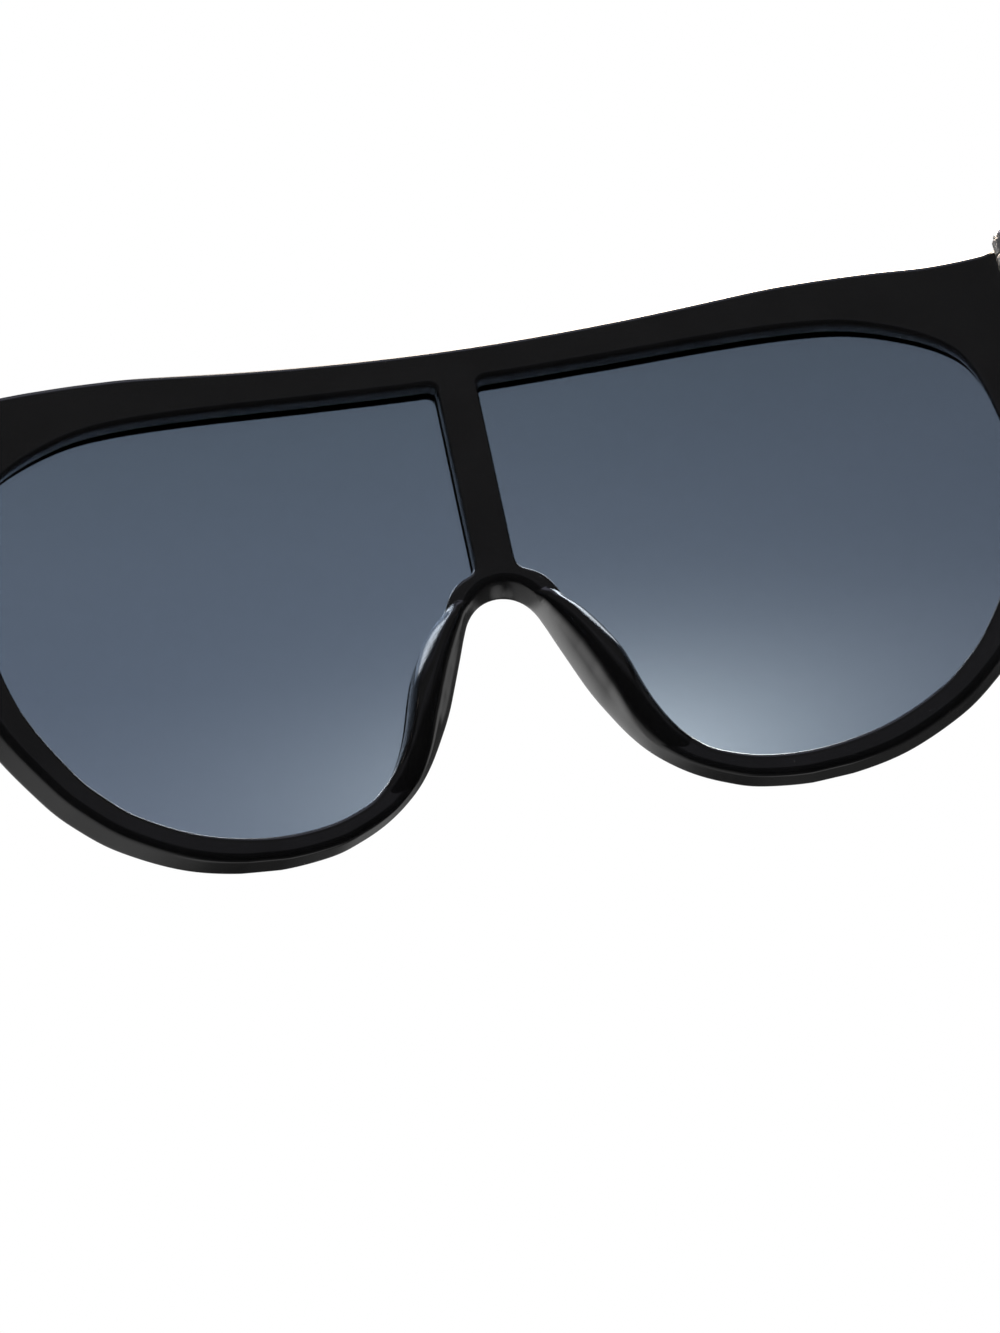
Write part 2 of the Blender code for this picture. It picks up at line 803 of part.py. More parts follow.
def rivet_places(side, way):
    """Middles of a hinge half's two rivets, on the plastic's inner side."""
    axis = hinge_axis(side)
    y = axis.y + way * (leaf_start + leaf_length / 2)
    return [Vector((side * inner_x(), y, axis.z + sign * rivet_spacing / 2)) for sign in (-1, 1)]


def drill(target, name, side, way, material):
    """Rivet holes right through the plastic."""
    for number, centre in enumerate(rivet_places(side, way)):
        centre = centre + Vector((side * side_depth() / 2, 0, 0))
        length = side_depth() + 2 * cut_overrun
        tool = rod_object(f"{name}_{number}", centre, rivet_hole_radius, length, material, along_x())
        combine(target, tool, "DIFFERENCE")


def build_rivet(name, place, side, material, parent=None):
    """A rivet through the leaf and the plastic: a turned pin with a head at both ends."""
    inner_face = -(seat_gap + leaf_thickness + rivet_head_gap)
    outer_face = side_depth() + rivet_head_gap
    profile = (
        (inner_face - rivet_inner_head_height, rivet_inner_head_radius * head_top_share),
        (inner_face, rivet_inner_head_radius),
        (inner_face, rivet_radius),
        (outer_face, rivet_radius),
        (outer_face, rivet_head_radius),
        (outer_face + rivet_head_height / 2, rivet_head_radius * head_waist_share),
        (outer_face + rivet_head_height, rivet_head_radius * dome_top_share),
    )
    turn = Matrix.Rotation(side * math.pi / 2, 4, "Y")
    return turned_object(name, profile, Matrix.Translation(place) @ turn, material, parent)


def build_screw(side, material):
    """The hinge's screw: a shank through the knuckles and a slotted head on top."""
    axis = hinge_axis(side)
    name = f"hinge_screw_{side_name(side)}"
    top = hinge_span / 2 + rivet_head_gap
    profile = (
        (-hinge_span / 2, screw_radius),
        (top, screw_radius),
        (top, screw_head_radius),
        (top + screw_head_height / 2, screw_head_radius),
        (top + screw_head_height, screw_head_radius * head_top_share),
    )
    screw = turned_object(name, profile, Matrix.Translation(axis), material)
    reach = screw_head_radius + cut_overrun
    crown = top + screw_head_height
    low = axis + Vector((-screw_slot_width / 2, -reach, crown - screw_slot_depth))
    high = axis + Vector((screw_slot_width / 2, reach, crown + cut_overrun))
    combine(screw, box_between(f"{name}_slot", low, high, material), "DIFFERENCE")
    return screw


def build_part():
    clear_scene()
    plastic = make_material("frame_plastic", (0.010, 0.010, 0.011), 0.34, 0)
    pad_plastic = make_material("pad_plastic", (0.008, 0.008, 0.009), 0.22, 0)
    tint = make_material("lens_tint", (0.10, 0.12, 0.15), 0.05, 0, 0.85)
    steel = make_material("hinge_steel", (0.55, 0.55, 0.56), 0.3, 1)
    front = build_front(plastic)
    middle_layer = (middle_knuckle_height + 2 * knuckle_gap, False)
    front_layers = [(knuckle_height, True), middle_layer, (knuckle_height, True)]
    end_layer = (knuckle_height + knuckle_gap, False)
    temple_layers = [end_layer, (middle_knuckle_height, True), end_layer]
    for side in (1, -1):
        word = side_name(side)
        pivot = bpy.data.objects.new(f"temple_pivot_{word}", None)
        pivot.location = hinge_axis(side)
        bpy.context.collection.objects.link(pivot)
        bpy.context.view_layer.update()
        build_lens(side, tint)
        build_pad(side, pad_plastic)
        temple = build_temple(side, plastic, pivot)
        build_core(side, steel, pivot)
        drill(front, f"front_hole_{word}", side, -1, plastic)
        drill(temple, f"temple_hole_{word}", side, 1, plastic)
        build_hinge(f"front_hinge_{word}", side, -1, front_layers, steel)
        build_hinge(f"temple_hinge_{word}", side, 1, temple_layers, steel, pivot)
        for level, front_place, temple_place in zip(
                ("lower", "upper"), rivet_places(side, -1), rivet_places(side, 1)):
            build_rivet(f"front_hinge_rivet_{level}_{word}", front_place, side, steel)
            build_rivet(f"temple_hinge_rivet_{level}_{word}", temple_place, side, steel, pivot)
        build_screw(side, steel)
    centre_part()


def centre_part():
    """Moves everything along Y so that the box's middle is the origin."""
    tip_y = max(point.y for distance, share in temple_stations()
                for point in section(1, distance, temple_size(distance)[0] * share, tip_thickness, 0))
    shift = Vector((0, (front_depth - tip_y) / 2, 0))
    for thing in bpy.data.objects:
        if thing.parent is None:
            thing.location += shift


build_part()
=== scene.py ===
"""The looks of the sunglasses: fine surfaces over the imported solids, their materials, and a small studio.

The frame: +Z is up, the front faces -Y and +X is the wearer's left. The camera stands behind the
front, below it and a little to the wearer's left. Lengths are in metres.
"""

import json
import math

import bmesh
import bpy
from mathutils import Matrix, Vector, geometry, kdtree


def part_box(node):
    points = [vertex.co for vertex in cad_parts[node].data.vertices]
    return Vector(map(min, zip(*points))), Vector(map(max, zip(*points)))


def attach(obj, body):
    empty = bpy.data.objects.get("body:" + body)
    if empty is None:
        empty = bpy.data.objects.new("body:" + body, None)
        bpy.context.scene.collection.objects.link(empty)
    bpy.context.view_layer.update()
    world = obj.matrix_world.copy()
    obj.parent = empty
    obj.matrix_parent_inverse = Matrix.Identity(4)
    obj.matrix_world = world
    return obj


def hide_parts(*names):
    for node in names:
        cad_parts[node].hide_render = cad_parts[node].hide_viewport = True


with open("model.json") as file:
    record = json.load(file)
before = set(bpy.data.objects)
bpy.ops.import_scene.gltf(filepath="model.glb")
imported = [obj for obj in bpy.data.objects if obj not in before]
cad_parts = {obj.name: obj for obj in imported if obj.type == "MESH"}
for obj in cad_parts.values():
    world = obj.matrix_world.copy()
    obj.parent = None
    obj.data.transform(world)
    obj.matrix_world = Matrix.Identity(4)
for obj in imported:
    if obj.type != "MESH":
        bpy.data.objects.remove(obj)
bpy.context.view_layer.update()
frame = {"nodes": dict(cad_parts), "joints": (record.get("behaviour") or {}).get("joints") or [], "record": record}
front_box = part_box("frame_front")

# Lens openings
lens_width = 0.0646
lens_height = 0.0577
bar_width = 0.0053
corner_radius = 0.0012

# Rim around the openings
lower_rim = 0.0030
side_rim = 0.0044
brow_height = 0.0048
brow_drop = 0.0051
end_tab_height = 0.0125
end_tab_fillet = 0.0042
standing_cut = 0.00008
front_depth = 0.0029
back_depth = 0.0026
edge_radius = 0.0008
outer_back_radius = 0.0009

# Nose gap
nose_gap_height = 0.0320
nose_gap_reach = 0.0228
nose_splay = 0.0015
splay_power = 1.8

# Curve of the front
front_radius = 0.159
end_turn_radius = 0.0072
end_turn_start = 0.0023
end_run = 0.0060

# Lens and its groove
lens_thickness = 0.0018
front_lip = 0.0010
lens_gap = 0.0002
groove_depth = 0.0013
lens_tongue = 0.0010
lens_bevel = 0.0002

# Nose pads
pad_rise = 0.0024
pad_wrap = 0.0013
pad_proud = 0.00003
pad_sink = 0.00010
pad_seat = 0.0003

# Temples
temple_run = 0.0820
temple_slope = math.radians(8)
ear_radius = 0.0380
ear_slope = math.radians(48)
temple_mid_height = 0.0084
temple_tip_height = 0.0096
temple_thickness = 0.0042
tip_thickness = 0.0036
tip_cut = 0.00040
temple_corner = 0.0013
temple_end_radius = 0.0004
slimming_share = 0.75
round_corner_share = 0.98
taper_start = 0.0100
taper_end = 0.0300
end_gap = 0.0003

# Hinges, screws and rivets
knuckle_radius = 0.0016
knuckle_height = 0.0020
middle_knuckle_height = 0.0022
knuckle_gap = 0.0002
bore_radius = 0.0008
face_clearance = 0.0002
leaf_thickness = 0.0010
leaf_start = 0.0018
leaf_length = 0.0042
seat_gap = 0.0003
screw_radius = 0.0006
screw_head_radius = 0.0013
screw_head_height = 0.0008
screw_slot_width = 0.0004
screw_slot_depth = 0.0004
screw_top_share = 0.8
rivet_head_radius = 0.0011
rivet_head_height = 0.0005
rivet_inner_head_height = 0.0003
rivet_inner_head_radius = 0.0010
rivet_head_gap = 0.0002
rivet_spacing = 0.0042
steel_bevel = 0.0001

# Fineness of the surfaces
smooth_angle = math.radians(35)
outline_step = 0.0006
round_segments = 6
support = 0.00004
face_grid = 0.0016
lens_grid = 0.0030
section_sides = 48
temple_step = 0.0015
tip_steps = 16
pad_stations = 60
pad_sides = 20
wall_steps = 8
round_sides = 48
dome_steps = 6
dome_tip_share = 0.01
bevel_steps = 3
cut_overrun = 0.0010

# Sizes that follow from the ones above
half_bar = bar_width / 2
lens_floor = lower_rim
lens_top = lens_floor + lens_height
front_top = lens_top + brow_height
end_tab_top = front_top - brow_drop
end_tab_floor = end_tab_top - end_tab_height
lens_outer = half_bar + lens_width
turn_begin = lens_outer + end_turn_start
turn_begin_angle = turn_begin / front_radius
turn_length = end_turn_radius * (math.pi / 2 - turn_begin_angle)
end_tab_reach = turn_begin + turn_length + end_run
hinge_height = (end_tab_top + end_tab_floor) / 2 - standing_cut
hinge_span = 2 * knuckle_height + 2 * knuckle_gap + middle_knuckle_height
groove_front = -front_depth + front_lip
groove_back = groove_front + lens_thickness + 2 * lens_gap
ear_length = ear_radius * (ear_slope - temple_slope)
middle_y = front_box[0].y + front_depth
butt_y = front_box[1].y

# Opening outline: share of the lens width from the bar, and share of its height
opening_top_shares = (
    (0.0, 1.0), (0.225, 0.998), (0.470, 0.9875), (0.658, 0.963),
    (0.784, 0.922), (0.911, 0.838), (0.972, 0.745),
)
# The same, and the share of the way from the lower rim to the side rim that the rim has there
opening_rim_shares = (
    (1.0, 0.581, 1.0), (0.991, 0.452, 1.0), (0.951, 0.305, 0.8), (0.871, 0.173, 0.43),
    (0.815, 0.112, 0.29), (0.748, 0.063, 0.18), (0.634, 0.017, 0.14), (0.504, 0.0, 0.0),
)
opening_nose_shares = (
    (0.393, 0.013), (0.310, 0.046), (0.270, 0.079), (0.239, 0.118), (0.212, 0.172), (0.194, 0.224),
    (0.178, 0.283), (0.162, 0.333), (0.1385, 0.383), (0.109, 0.428), (0.081, 0.459), (0.068, 0.487),
    (0.052, 0.513), (0.030, 0.531), (0.011, 0.541), (0.0015, 0.556),
)
bar_shares = ((0.0, 0.581), (0.0, 0.652), (0.0, 0.825))
opening_shares = (*opening_top_shares, *opening_rim_shares, *opening_nose_shares, *bar_shares)
# Nose gap outline: share of its reach from the middle, and share of its height
nose_gap_shares = (
    (0.0, 1.0), (0.074, 0.990), (0.136, 0.9625), (0.187, 0.917), (0.2255, 0.855), (0.266, 0.777),
    (0.331, 0.655), (0.383, 0.562), (0.447, 0.470), (0.550, 0.344), (0.663, 0.244), (0.8215, 0.150),
    (1.0, 0.080), (1.2, 0.030),
)
# Splay of the nose gap: share of the gap's height, and share of the full splay there
splay_shares = (
    (0.0, 0.0), (0.15, 0.0), (0.29, 0.33), (0.39, 0.60), (0.48, 0.87), (0.58, 1.0),
    (0.69, 0.95), (0.79, 0.80), (0.87, 0.63), (0.94, 0.53), (1.0, 0.55),
)
# Brow outline: share of the way out to the turned end, and share of the brow's drop
brow_shares = (
    (0.0, 0.0), (0.30, 0.0), (0.565, 0.04), (0.690, 0.18), (0.806, 0.43), (0.920, 0.75), (1.04, 0.93),
)
# Hollow under a turned end: shares of its fillet, out from the side and down from the end's floor
end_tab_fillet_shares = ((0.17, 1.0), (0.75, 0.14), (1.75, 0.0))
# Pad: share of the way along the nose, share of its full rise
pad_shares = (
    (0.0, 0.0), (0.04, 0.22), (0.10, 0.48), (0.20, 0.78), (0.32, 0.96), (0.44, 1.0), (0.58, 0.90),
    (0.72, 0.64), (0.86, 0.28), (1.0, 0.0),
)
pad_ridge_share = 0.66
pad_nose_hold_share = 0.60
pad_top_power = 1.65
pad_low_power = 0.8
pad_power_range = (0.25, 0.50)
pad_blend_share = 0.25
pad_least_slant = 0.66
# The stretches of the opening's nose side and of the nose gap's edge that a pad lies along
pad_lens_points = slice(2, 12)
pad_gap_points = slice(2, 12)

# Noises of the materials: scale, detail, roughness, and stretch along each axis if any
mottle_noise = (150, 4, 0.5)
cloud_noise = (90, 5, 0.6)
mark_noise = (1, 6, 0.7, (900, 60, 260))
wave_noise = (260, 2, 0.5)
grain_noise = (5200, 3, 0.6)
smudge_noise = (120, 5, 0.6)
speck_noise = (700, 4, 0.5)
brush_noise = (1, 4, 0.6, (9000, 400, 9000))
floor_noise = (9, 3, 0.5)
# Values that a noise mostly has, and those between which marks and smudges come up
noise_range = (0.3, 0.7)
mark_range = (0.64, 0.76)
smudge_range = (0.45, 0.75)
# Bumps: strength and height
wave_bump = (0.04, 0.00005)
grain_bump = (0.05, 0.000004)
brush_bump = (0.15, 0.00001)
# Roughness: smoothest and roughest places
frame_roughness = (0.10, 0.18)
pad_roughness = (0.07, 0.12)
mark_roughness = (0, 0.035)
smudge_roughness = (0, 0.03)
steel_roughness = (0.22, 0.38)
floor_roughness = 0.7
# Tones: dark and light
frame_tones = ((0.0034, 0.0034, 0.0037), (0.0046, 0.0046, 0.0050))
pad_tones = ((0.0028, 0.0028, 0.0030), (0.0036, 0.0036, 0.0038))
steel_tones = ((0.50, 0.50, 0.51), (0.60, 0.60, 0.61))
floor_tones = ((0.84, 0.84, 0.84), (0.88, 0.88, 0.88))

# Lens: colours by height, how much darker it gets to the wearer's right, and a painted reflection near the nose
lens_index = 1.5
lens_colours = (
    (0.0, (0.113, 0.144, 0.199)), (0.35, (0.091, 0.119, 0.168)), (0.65, (0.087, 0.114, 0.159)),
    (1.0, (0.071, 0.096, 0.132)),
)
lens_fall_share = 0.21
# The painted reflection in the tint: its width and height, how fast it fades, its strength on the wearer's right
# and left lens, and its colour
lens_painted_reflection_width = 0.0236
lens_painted_reflection_height = 0.0117
lens_painted_reflection_power = 0.65
lens_painted_reflection_right = 1.0
lens_painted_reflection_left = 0.395
lens_painted_reflection_colour = (0.755, 0.89, 1.0, 1)

# Camera: where it stands round the object and its roll, in degrees, and how far off it is
camera_azimuth = 170.8
camera_elevation = -20
camera_roll = -12.11
camera_distance = 0.440
camera_aim = Vector((0, middle_y, 0.0266))
camera_aside = -0.00087
camera_down = -0.0044
camera_lens = 94.5
camera_sensor = 36
camera_clip_start = 0.0044

# Lamps: name, azimuth and elevation in degrees, distance, width and height, and watts
lamps = (("key", 172, 42, 0.9, 0.36, 0.24, 5), ("fill", 20, 50, 1.1, 0.60, 0.60, 5))

# Backdrop, floor and spheres
world_fill = 0.5
floor_size = 3.0
floor_drop = 0.0002
sphere_steps = 48

# Surround: where its front turns to its back, and on a slant to its upper colour, as shares of its radius
surround_radius = 1.60
surround_turn_range = (-0.45, 0.10)
surround_upper_range = (0.12, 0.26)
surround_slant = 0.3
surround_upper_colour = (0.05, 0.05, 0.05, 1)
# Greys of its front, from the wearer's right at 0 to left at 1
surround_front_greys = (
    (0.1, 0.02), (0.2, 0.12), (0.27, 0.22), (0.345, 0.22), (0.425, 0.25), (0.46, 0.18),
    (0.5, 0.14), (0.53, 0.2), (0.585, 0.48), (0.65, 1.2), (0.69, 1.3), (0.76, 1.35),
    (0.82, 1.6), (0.87, 1.5), (0.9, 1.15), (0.92, 0.65), (0.94, 0.25), (0.97, 0.08),
)
# Colours of its back, from straight below at 0 to straight above at 1
surround_back_colours = (
    (0.53, (0.0, 0.0, 0.0)), (0.62, (0.16, 0.16, 0.18)), (0.655, (0.20, 0.20, 0.23)),
    (0.67, (0.12, 0.12, 0.125)), (0.682, (0.09, 0.09, 0.09)), (0.711, (0.13, 0.13, 0.13)),
    (0.85, (0.08, 0.08, 0.08)), (0.92, (0.20, 0.20, 0.24)), (0.96, (0.70, 0.72, 0.90)),
)
# Its strength below, and the heights between which that grows to 1
surround_dim = 0.3
surround_dim_range = (-0.2, -0.03)

# Glints: azimuth, elevation and radius in degrees, and strength
glint_patches = (
    (-34, 48, 17, 33), (42, 54, 12, 38), (-42, 3, 10, 0.3), (-12, -36, 13, 0.42), (7, -35, 9, 0.35),
)
glint_sphere_radius = 1.55
glint_soft_share = 0.4
# Their colours from below and from above, and the heights between which one turns to the other
glint_low_colour = (1, 1, 1, 1)
glint_high_colour = (1.0, 0.86, 0.70, 1)
glint_rise_range = (0.2, 0.5)


# Curves
def smooth_run(points, step):
    """Samples a curve through the points, about one step apart, both ends included."""
    before = points[0] * 2 - points[1]
    after = points[-1] * 2 - points[-2]
    padded = [before, *points, after]
    samples = []
    for i in range(1, len(padded) - 2):
        a, b, c, d = padded[i - 1:i + 3]
        count = max(1, round((c - b).length / step))
        for k in range(count):
            t = k / count
            samples.append(0.5 * (2 * b + (c - a) * t + (2 * a - 5 * b + 4 * c - d) * t ** 2
                                  + (3 * b - a - 3 * c + d) * t ** 3))
    samples.append(points[-1].copy())
    return samples


def fillet(before, corner, after, radius):
    """The arc that rounds a corner between two straight sides."""
    to_before = (before - corner).normalized()
    to_after = (after - corner).normalized()
    half_angle = to_before.angle(to_after) / 2
    reach = radius / math.tan(half_angle)
    centre = corner + (to_before + to_after).normalized() * radius / math.sin(half_angle)
    start = corner + to_before * reach - centre
    end = corner + to_after * reach - centre
    steps = round_segments + 1
    return reach, [centre + start.slerp(end, k / steps) * radius for k in range(steps + 1)]


def join_runs(runs, radius):
    """Joins curve runs end to end into one loop, each corner rounded with an arc."""
    loop = []
    reaches = []
    arcs = []
    for run, following in zip(runs, [*runs[1:], runs[0]]):
        reach, arc = fillet(run[-2], run[-1], following[1], radius)
        reaches.append(reach)
        arcs.append(arc)
    for i, run in enumerate(runs):
        for point in run[1:-1]:
            clear_of_start = (point - run[0]).length > reaches[i - 1] + outline_step / 2
            clear_of_end = (point - run[-1]).length > reaches[i] + outline_step / 2
            if clear_of_start and clear_of_end:
                loop.append(point)
        loop.extend(arcs[i])
    return loop


def mirrored(points):
    """The same points on the other side, in the opposite order."""
    return [Vector((-p.x, p.y)) for p in points[::-1]]


def quarter_turn(steps):
    """Angles from nought to a right angle, both included."""
    return [k / steps * math.pi / 2 for k in range(steps + 1)]


def opening_points(shares):
    """Points of the right-hand opening's outline."""
    return [Vector((half_bar + row[0] * lens_width, lens_floor + row[1] * lens_height)) for row in shares]


def opening_loop():
    """The right-hand opening's outline, from the bar's top corner round and back to it."""
    points = opening_points(opening_shares)
    return join_runs([smooth_run([*points, points[0].copy()], outline_step)], corner_radius)


def rim_points():
    """Control points of the rim's outer edge, from the nose gap round to the side, each a rim away."""
    points = opening_points(opening_shares)
    first = len(opening_top_shares)
    outer = []
    for k, row in enumerate(opening_rim_shares):
        along = (points[first + k + 1] - points[first + k - 1]).normalized()
        away = Vector((-along.y, along.x))
        outer.append(points[first + k] + away * (lower_rim + (side_rim - lower_rim) * row[2]))
    return outer[::-1]


def gap_points():
    """Control points of the nose gap's edge, from its top down to the lower rim."""
    return [Vector((out * nose_gap_reach, up * nose_gap_height)) for out, up in nose_gap_shares]


def front_loop():
    """The front's outer edge: nose gap and lower rims, turned ends and brow."""
    gap = gap_points()
    rim = rim_points()
    side = rim[-1].x
    shoulder = [Vector((side + out * end_tab_fillet, end_tab_floor - down * end_tab_fillet))
                for out, down in end_tab_fillet_shares]
    corner = Vector((end_tab_reach, end_tab_floor))
    half = [*gap[1:], *rim, *shoulder, corner]
    lower = smooth_run([*mirrored(half), gap[0], *half], outline_step)
    for point in lower:
        point.y = max(point.y, standing_cut)
    top_corner = Vector((end_tab_reach, end_tab_top))
    brow = [Vector((out * turn_begin, front_top - drop * brow_drop)) for out, drop in brow_shares]
    half = [top_corner, *brow[:0:-1]]
    upper = smooth_run([*half, brow[0], *mirrored(half)], outline_step)
    end = smooth_run([corner, top_corner], outline_step)
    return join_runs([lower, end, upper, mirrored(end)], corner_radius)


# The front
def on_front(across, up, back):
    """Puts a point of the flat pattern on the curved front: out from the middle, up, and back."""
    out = abs(across)
    angle = min(out, turn_begin) / front_radius
    x = front_radius * math.sin(angle)
    y = front_radius * (1 - math.cos(angle))
    if out > turn_begin:
        begin = angle
        angle = min(begin + (out - turn_begin) / end_turn_radius, math.pi / 2)
        x += end_turn_radius * (math.sin(angle) - math.sin(begin))
        y += end_turn_radius * (math.cos(begin) - math.cos(angle))
        y += max(0, out - turn_begin - turn_length)
    x -= back * math.sin(angle)
    y += back * math.cos(angle)
    return Vector((math.copysign(x, across), middle_y + y, up - standing_cut))


def inward(loop):
    """A unit vector at each point of a loop, pointing to its left as the loop runs."""
    vectors = []
    for i in range(len(loop)):
        along = (loop[(i + 1) % len(loop)] - loop[i - 1]).normalized()
        vectors.append(Vector((-along.y, along.x)))
    return vectors


def wall_splay(depth):
    """Splay of the nose gap's wall at a depth: none at the front, and ever more towards the back."""
    return nose_splay * ((depth + front_depth) / (back_depth + front_depth)) ** splay_power


def rounded_profile(front_edge, back_edge):
    """Rows of inset and depth that round the edges of a wall: at the front face, and at the back face."""
    front = [(front_edge + support, -front_depth)]
    back = []
    for angle in quarter_turn(round_segments):
        front.append((front_edge * (1 - math.sin(angle)), -front_depth + front_edge * (1 - math.cos(angle))))
        back.append((back_edge * (1 - math.cos(angle)), back_depth - back_edge * (1 - math.sin(angle))))
    back.append((back_edge + support, back_depth))
    return front, back


def nose_share(point):
    """How much of the splay a point of the outer edge takes: most beside the nose, none off the gap."""
    if abs(point.x) > nose_gap_reach or point.y > lens_top:
        return 0
    height = point.y / nose_gap_height
    for (low, share), (high, next_share) in zip(splay_shares, splay_shares[1:]):
        if height <= high:
            return share + (next_share - share) * (height - low) / (high - low)
    return splay_shares[-1][1]


def inside(point, loop):
    """Whether a point lies inside a loop, by counting the sides to its right."""
    crossings = 0
    for i in range(len(loop)):
        a, b = loop[i - 1], loop[i]
        if (a.y > point.y) != (b.y > point.y):
            if point.x < a.x + (point.y - a.y) / (b.y - a.y) * (b.x - a.x):
                crossings += 1
    return crossings % 2 == 1


def add_rows(bm, loop, rows, share):
    """Adds one ring of vertices for each row, and the walls between neighbouring rings."""
    vectors = inward(loop)
    rings = []
    flat_rings = []
    for inset, depth in rows:
        splay = wall_splay(depth)
        flat = [p + v * (inset + splay * share(p)) for p, v in zip(loop, vectors)]
        flat_rings.append(flat)
        rings.append([bm.verts.new(on_front(p.x, p.y, depth)) for p in flat])
    for lower, upper in zip(rings, rings[1:]):
        add_wall(bm, lower, upper)
    return rings, flat_rings


def add_wall(bm, lower, upper):
    """The faces between two rings of as many vertices."""
    for i in range(len(lower)):
        bm.faces.new((lower[i - 1], lower[i], upper[i], upper[i - 1]))


def grid_points(loops, spacing, keep):
    """Points on a grid over the loops' box, each kept if its test passes and no loop is near."""
    corners = [p for loop in loops for p in loop]
    tree = kdtree.KDTree(len(corners))
    for i, point in enumerate(corners):
        tree.insert(point.to_3d(), i)
    tree.balance()
    low = Vector((min(p.x for p in corners), min(p.y for p in corners)))
    high = Vector((max(p.x for p in corners), max(p.y for p in corners)))
    found = []
    for i in range(1, math.ceil((high.x - low.x) / spacing)):
        for k in range(1, math.ceil((high.y - low.y) / spacing)):
            point = low + Vector((i, k)) * spacing
            if tree.find(point.to_3d())[2] > outline_step and keep(point):
                found.append(point)
    return found


def fill_face(bm, rings, flats, keep, spacing, depth):
    """Fills the flat pattern between rings with triangles, and keeps those whose middle passes."""
    flat_points = [p for flat in flats for p in flat]
    vertices = [v for ring in rings for v in ring]
    edges = []
    start = 0
    for flat in flats:
        edges.extend((start + i, start + (i + 1) % len(flat)) for i in range(len(flat)))
        start += len(flat)
    for point in grid_points(flats, spacing, keep):
        flat_points.append(point)
        vertices.append(bm.verts.new(on_front(point.x, point.y, depth)))
    filled = geometry.delaunay_2d_cdt(flat_points, edges, [], 0, 0)
    filled_points, triangles, origins = filled[0], filled[2], filled[3]
    for triangle in triangles:
        middle = sum((filled_points[i] for i in triangle), Vector((0, 0))) / len(triangle)
        if keep(middle):
            bm.faces.new([vertices[origins[i][0]] for i in triangle])


def make_object(name, bm, material):
    """Stores a mesh as an object of the scene."""
    mesh = bpy.data.meshes.new(name)
    bm.to_mesh(mesh)
    bm.free()
    mesh.materials.append(material)
    made = bpy.data.objects.new(name, mesh)
    bpy.context.scene.collection.objects.link(made)
    return made


def make_piece(name, bm, material):
    """Makes a piece of a closed mesh, with its faces turned out and shaded smooth."""
    bmesh.ops.recalc_face_normals(bm, faces=bm.faces)
    piece = make_object(name, bm, material)
    piece.data.shade_smooth()
    piece.data.set_sharp_from_angle(angle=smooth_angle)
    return piece


def show(piece, node):
    """Puts a fine piece in a node's place, on the node's body, and hides the node."""
    record = frame["record"]
    body = next(name for name, members in record["behaviour"]["bodies"].items() if node in members)
    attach(piece, body)
    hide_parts(node)


def build_front(material):
    """The front: its outer edge, two grooved lens openings, and the faces between them."""
    outer = front_loop()
    right = opening_loop()
    front_rows, back_rows = rounded_profile(edge_radius, outer_back_radius)
    low = front_rows[-1][1]
    high = back_rows[0][1]
    wall = [(0, low + (high - low) * k / wall_steps) for k in range(1, wall_steps)]
    outer_rows = front_rows + wall + back_rows
    front_rows, back_rows = rounded_profile(edge_radius, edge_radius)
    groove = [(0, groove_front), (groove_depth, groove_front), (groove_depth, groove_back), (0, groove_back)]
    opening_profile = front_rows + groove + back_rows
    bm = bmesh.new()
    sets = [add_rows(bm, outer, outer_rows, nose_share)]
    sets += [add_rows(bm, loop, opening_profile, lambda point: 0) for loop in (right, mirrored(right))]
    for row, depth in ((0, -front_depth), (-1, back_depth)):
        flats = [flat[row] for rings, flat in sets]
        fill_face(bm, [rings[row] for rings, flat in sets], flats,
                  lambda p, f=flats: inside(p, f[0]) and not inside(p, f[1]) and not inside(p, f[2]),
                  face_grid, depth)
    show(make_piece("front_surface", bm, material), "frame_front")


def build_lens(node, side, material):
    """A curved lens whose edge sits in the rim's groove."""
    loop = opening_loop()
    vectors = inward(loop)
    bm = bmesh.new()
    rings = []
    near = groove_front + lens_gap
    far = groove_back - lens_gap
    rows = ((lens_tongue - lens_bevel, near), (lens_tongue, near + lens_bevel),
            (lens_tongue, far - lens_bevel), (lens_tongue - lens_bevel, far))
    for tongue, depth in rows:
        flat = [p + v * tongue for p, v in zip(loop, vectors)]
        flat = [Vector((side * p.x, p.y)) for p in flat]
        rings.append([bm.verts.new(on_front(p.x, p.y, depth)) for p in flat])
        if depth in (near, far):
            fill_face(bm, [rings[-1]], [flat], lambda p, f=flat: inside(p, f), lens_grid, depth)
    for lower, upper in zip(rings, rings[1:]):
        add_wall(bm, lower, upper)
    show(make_piece(node.replace("lens", "lens_surface"), bm, material), node)


def pad_section(width, lean, rise, power):
    """A pad's section as distances from the nose gap's edge and depths.

    It leaves the gap's wall along the wall, bends over to the ridge, drops round a shoulder to the
    lens opening's wall, and closes inside the frame.
    """
    clear = -pad_sink + (pad_proud + pad_sink) * blend(0, 1, rise / pad_blend_share)
    foot_depth = back_depth - pad_wrap
    foot = Vector((wall_splay(foot_depth) * lean - clear, foot_depth))
    slope = splay_power * wall_splay(foot_depth) * lean / (foot_depth + front_depth)
    ridge = Vector((width * pad_ridge_share, back_depth + pad_rise * rise + clear))
    climb = (ridge.y - foot.y) * pad_nose_hold_share
    along_wall = foot + Vector((slope, 1)) * climb
    before_ridge = ridge - Vector(((ridge.x - foot.x) * pad_nose_hold_share, 0))
    points = geometry.interpolate_bezier(foot, along_wall, before_ridge, ridge, pad_sides)
    lens_depth = back_depth - edge_radius
    for angle in quarter_turn(pad_sides)[1:]:
        out = math.sin(angle) ** power
        high = max(math.cos(angle), 0) ** power
        points.append(Vector((ridge.x + (width + clear - ridge.x) * out,
                              lens_depth + (ridge.y - lens_depth) * high)))
    points.append(Vector((width - pad_seat, lens_depth)))
    points.append(Vector((foot.x + pad_seat, foot_depth)))
    return points


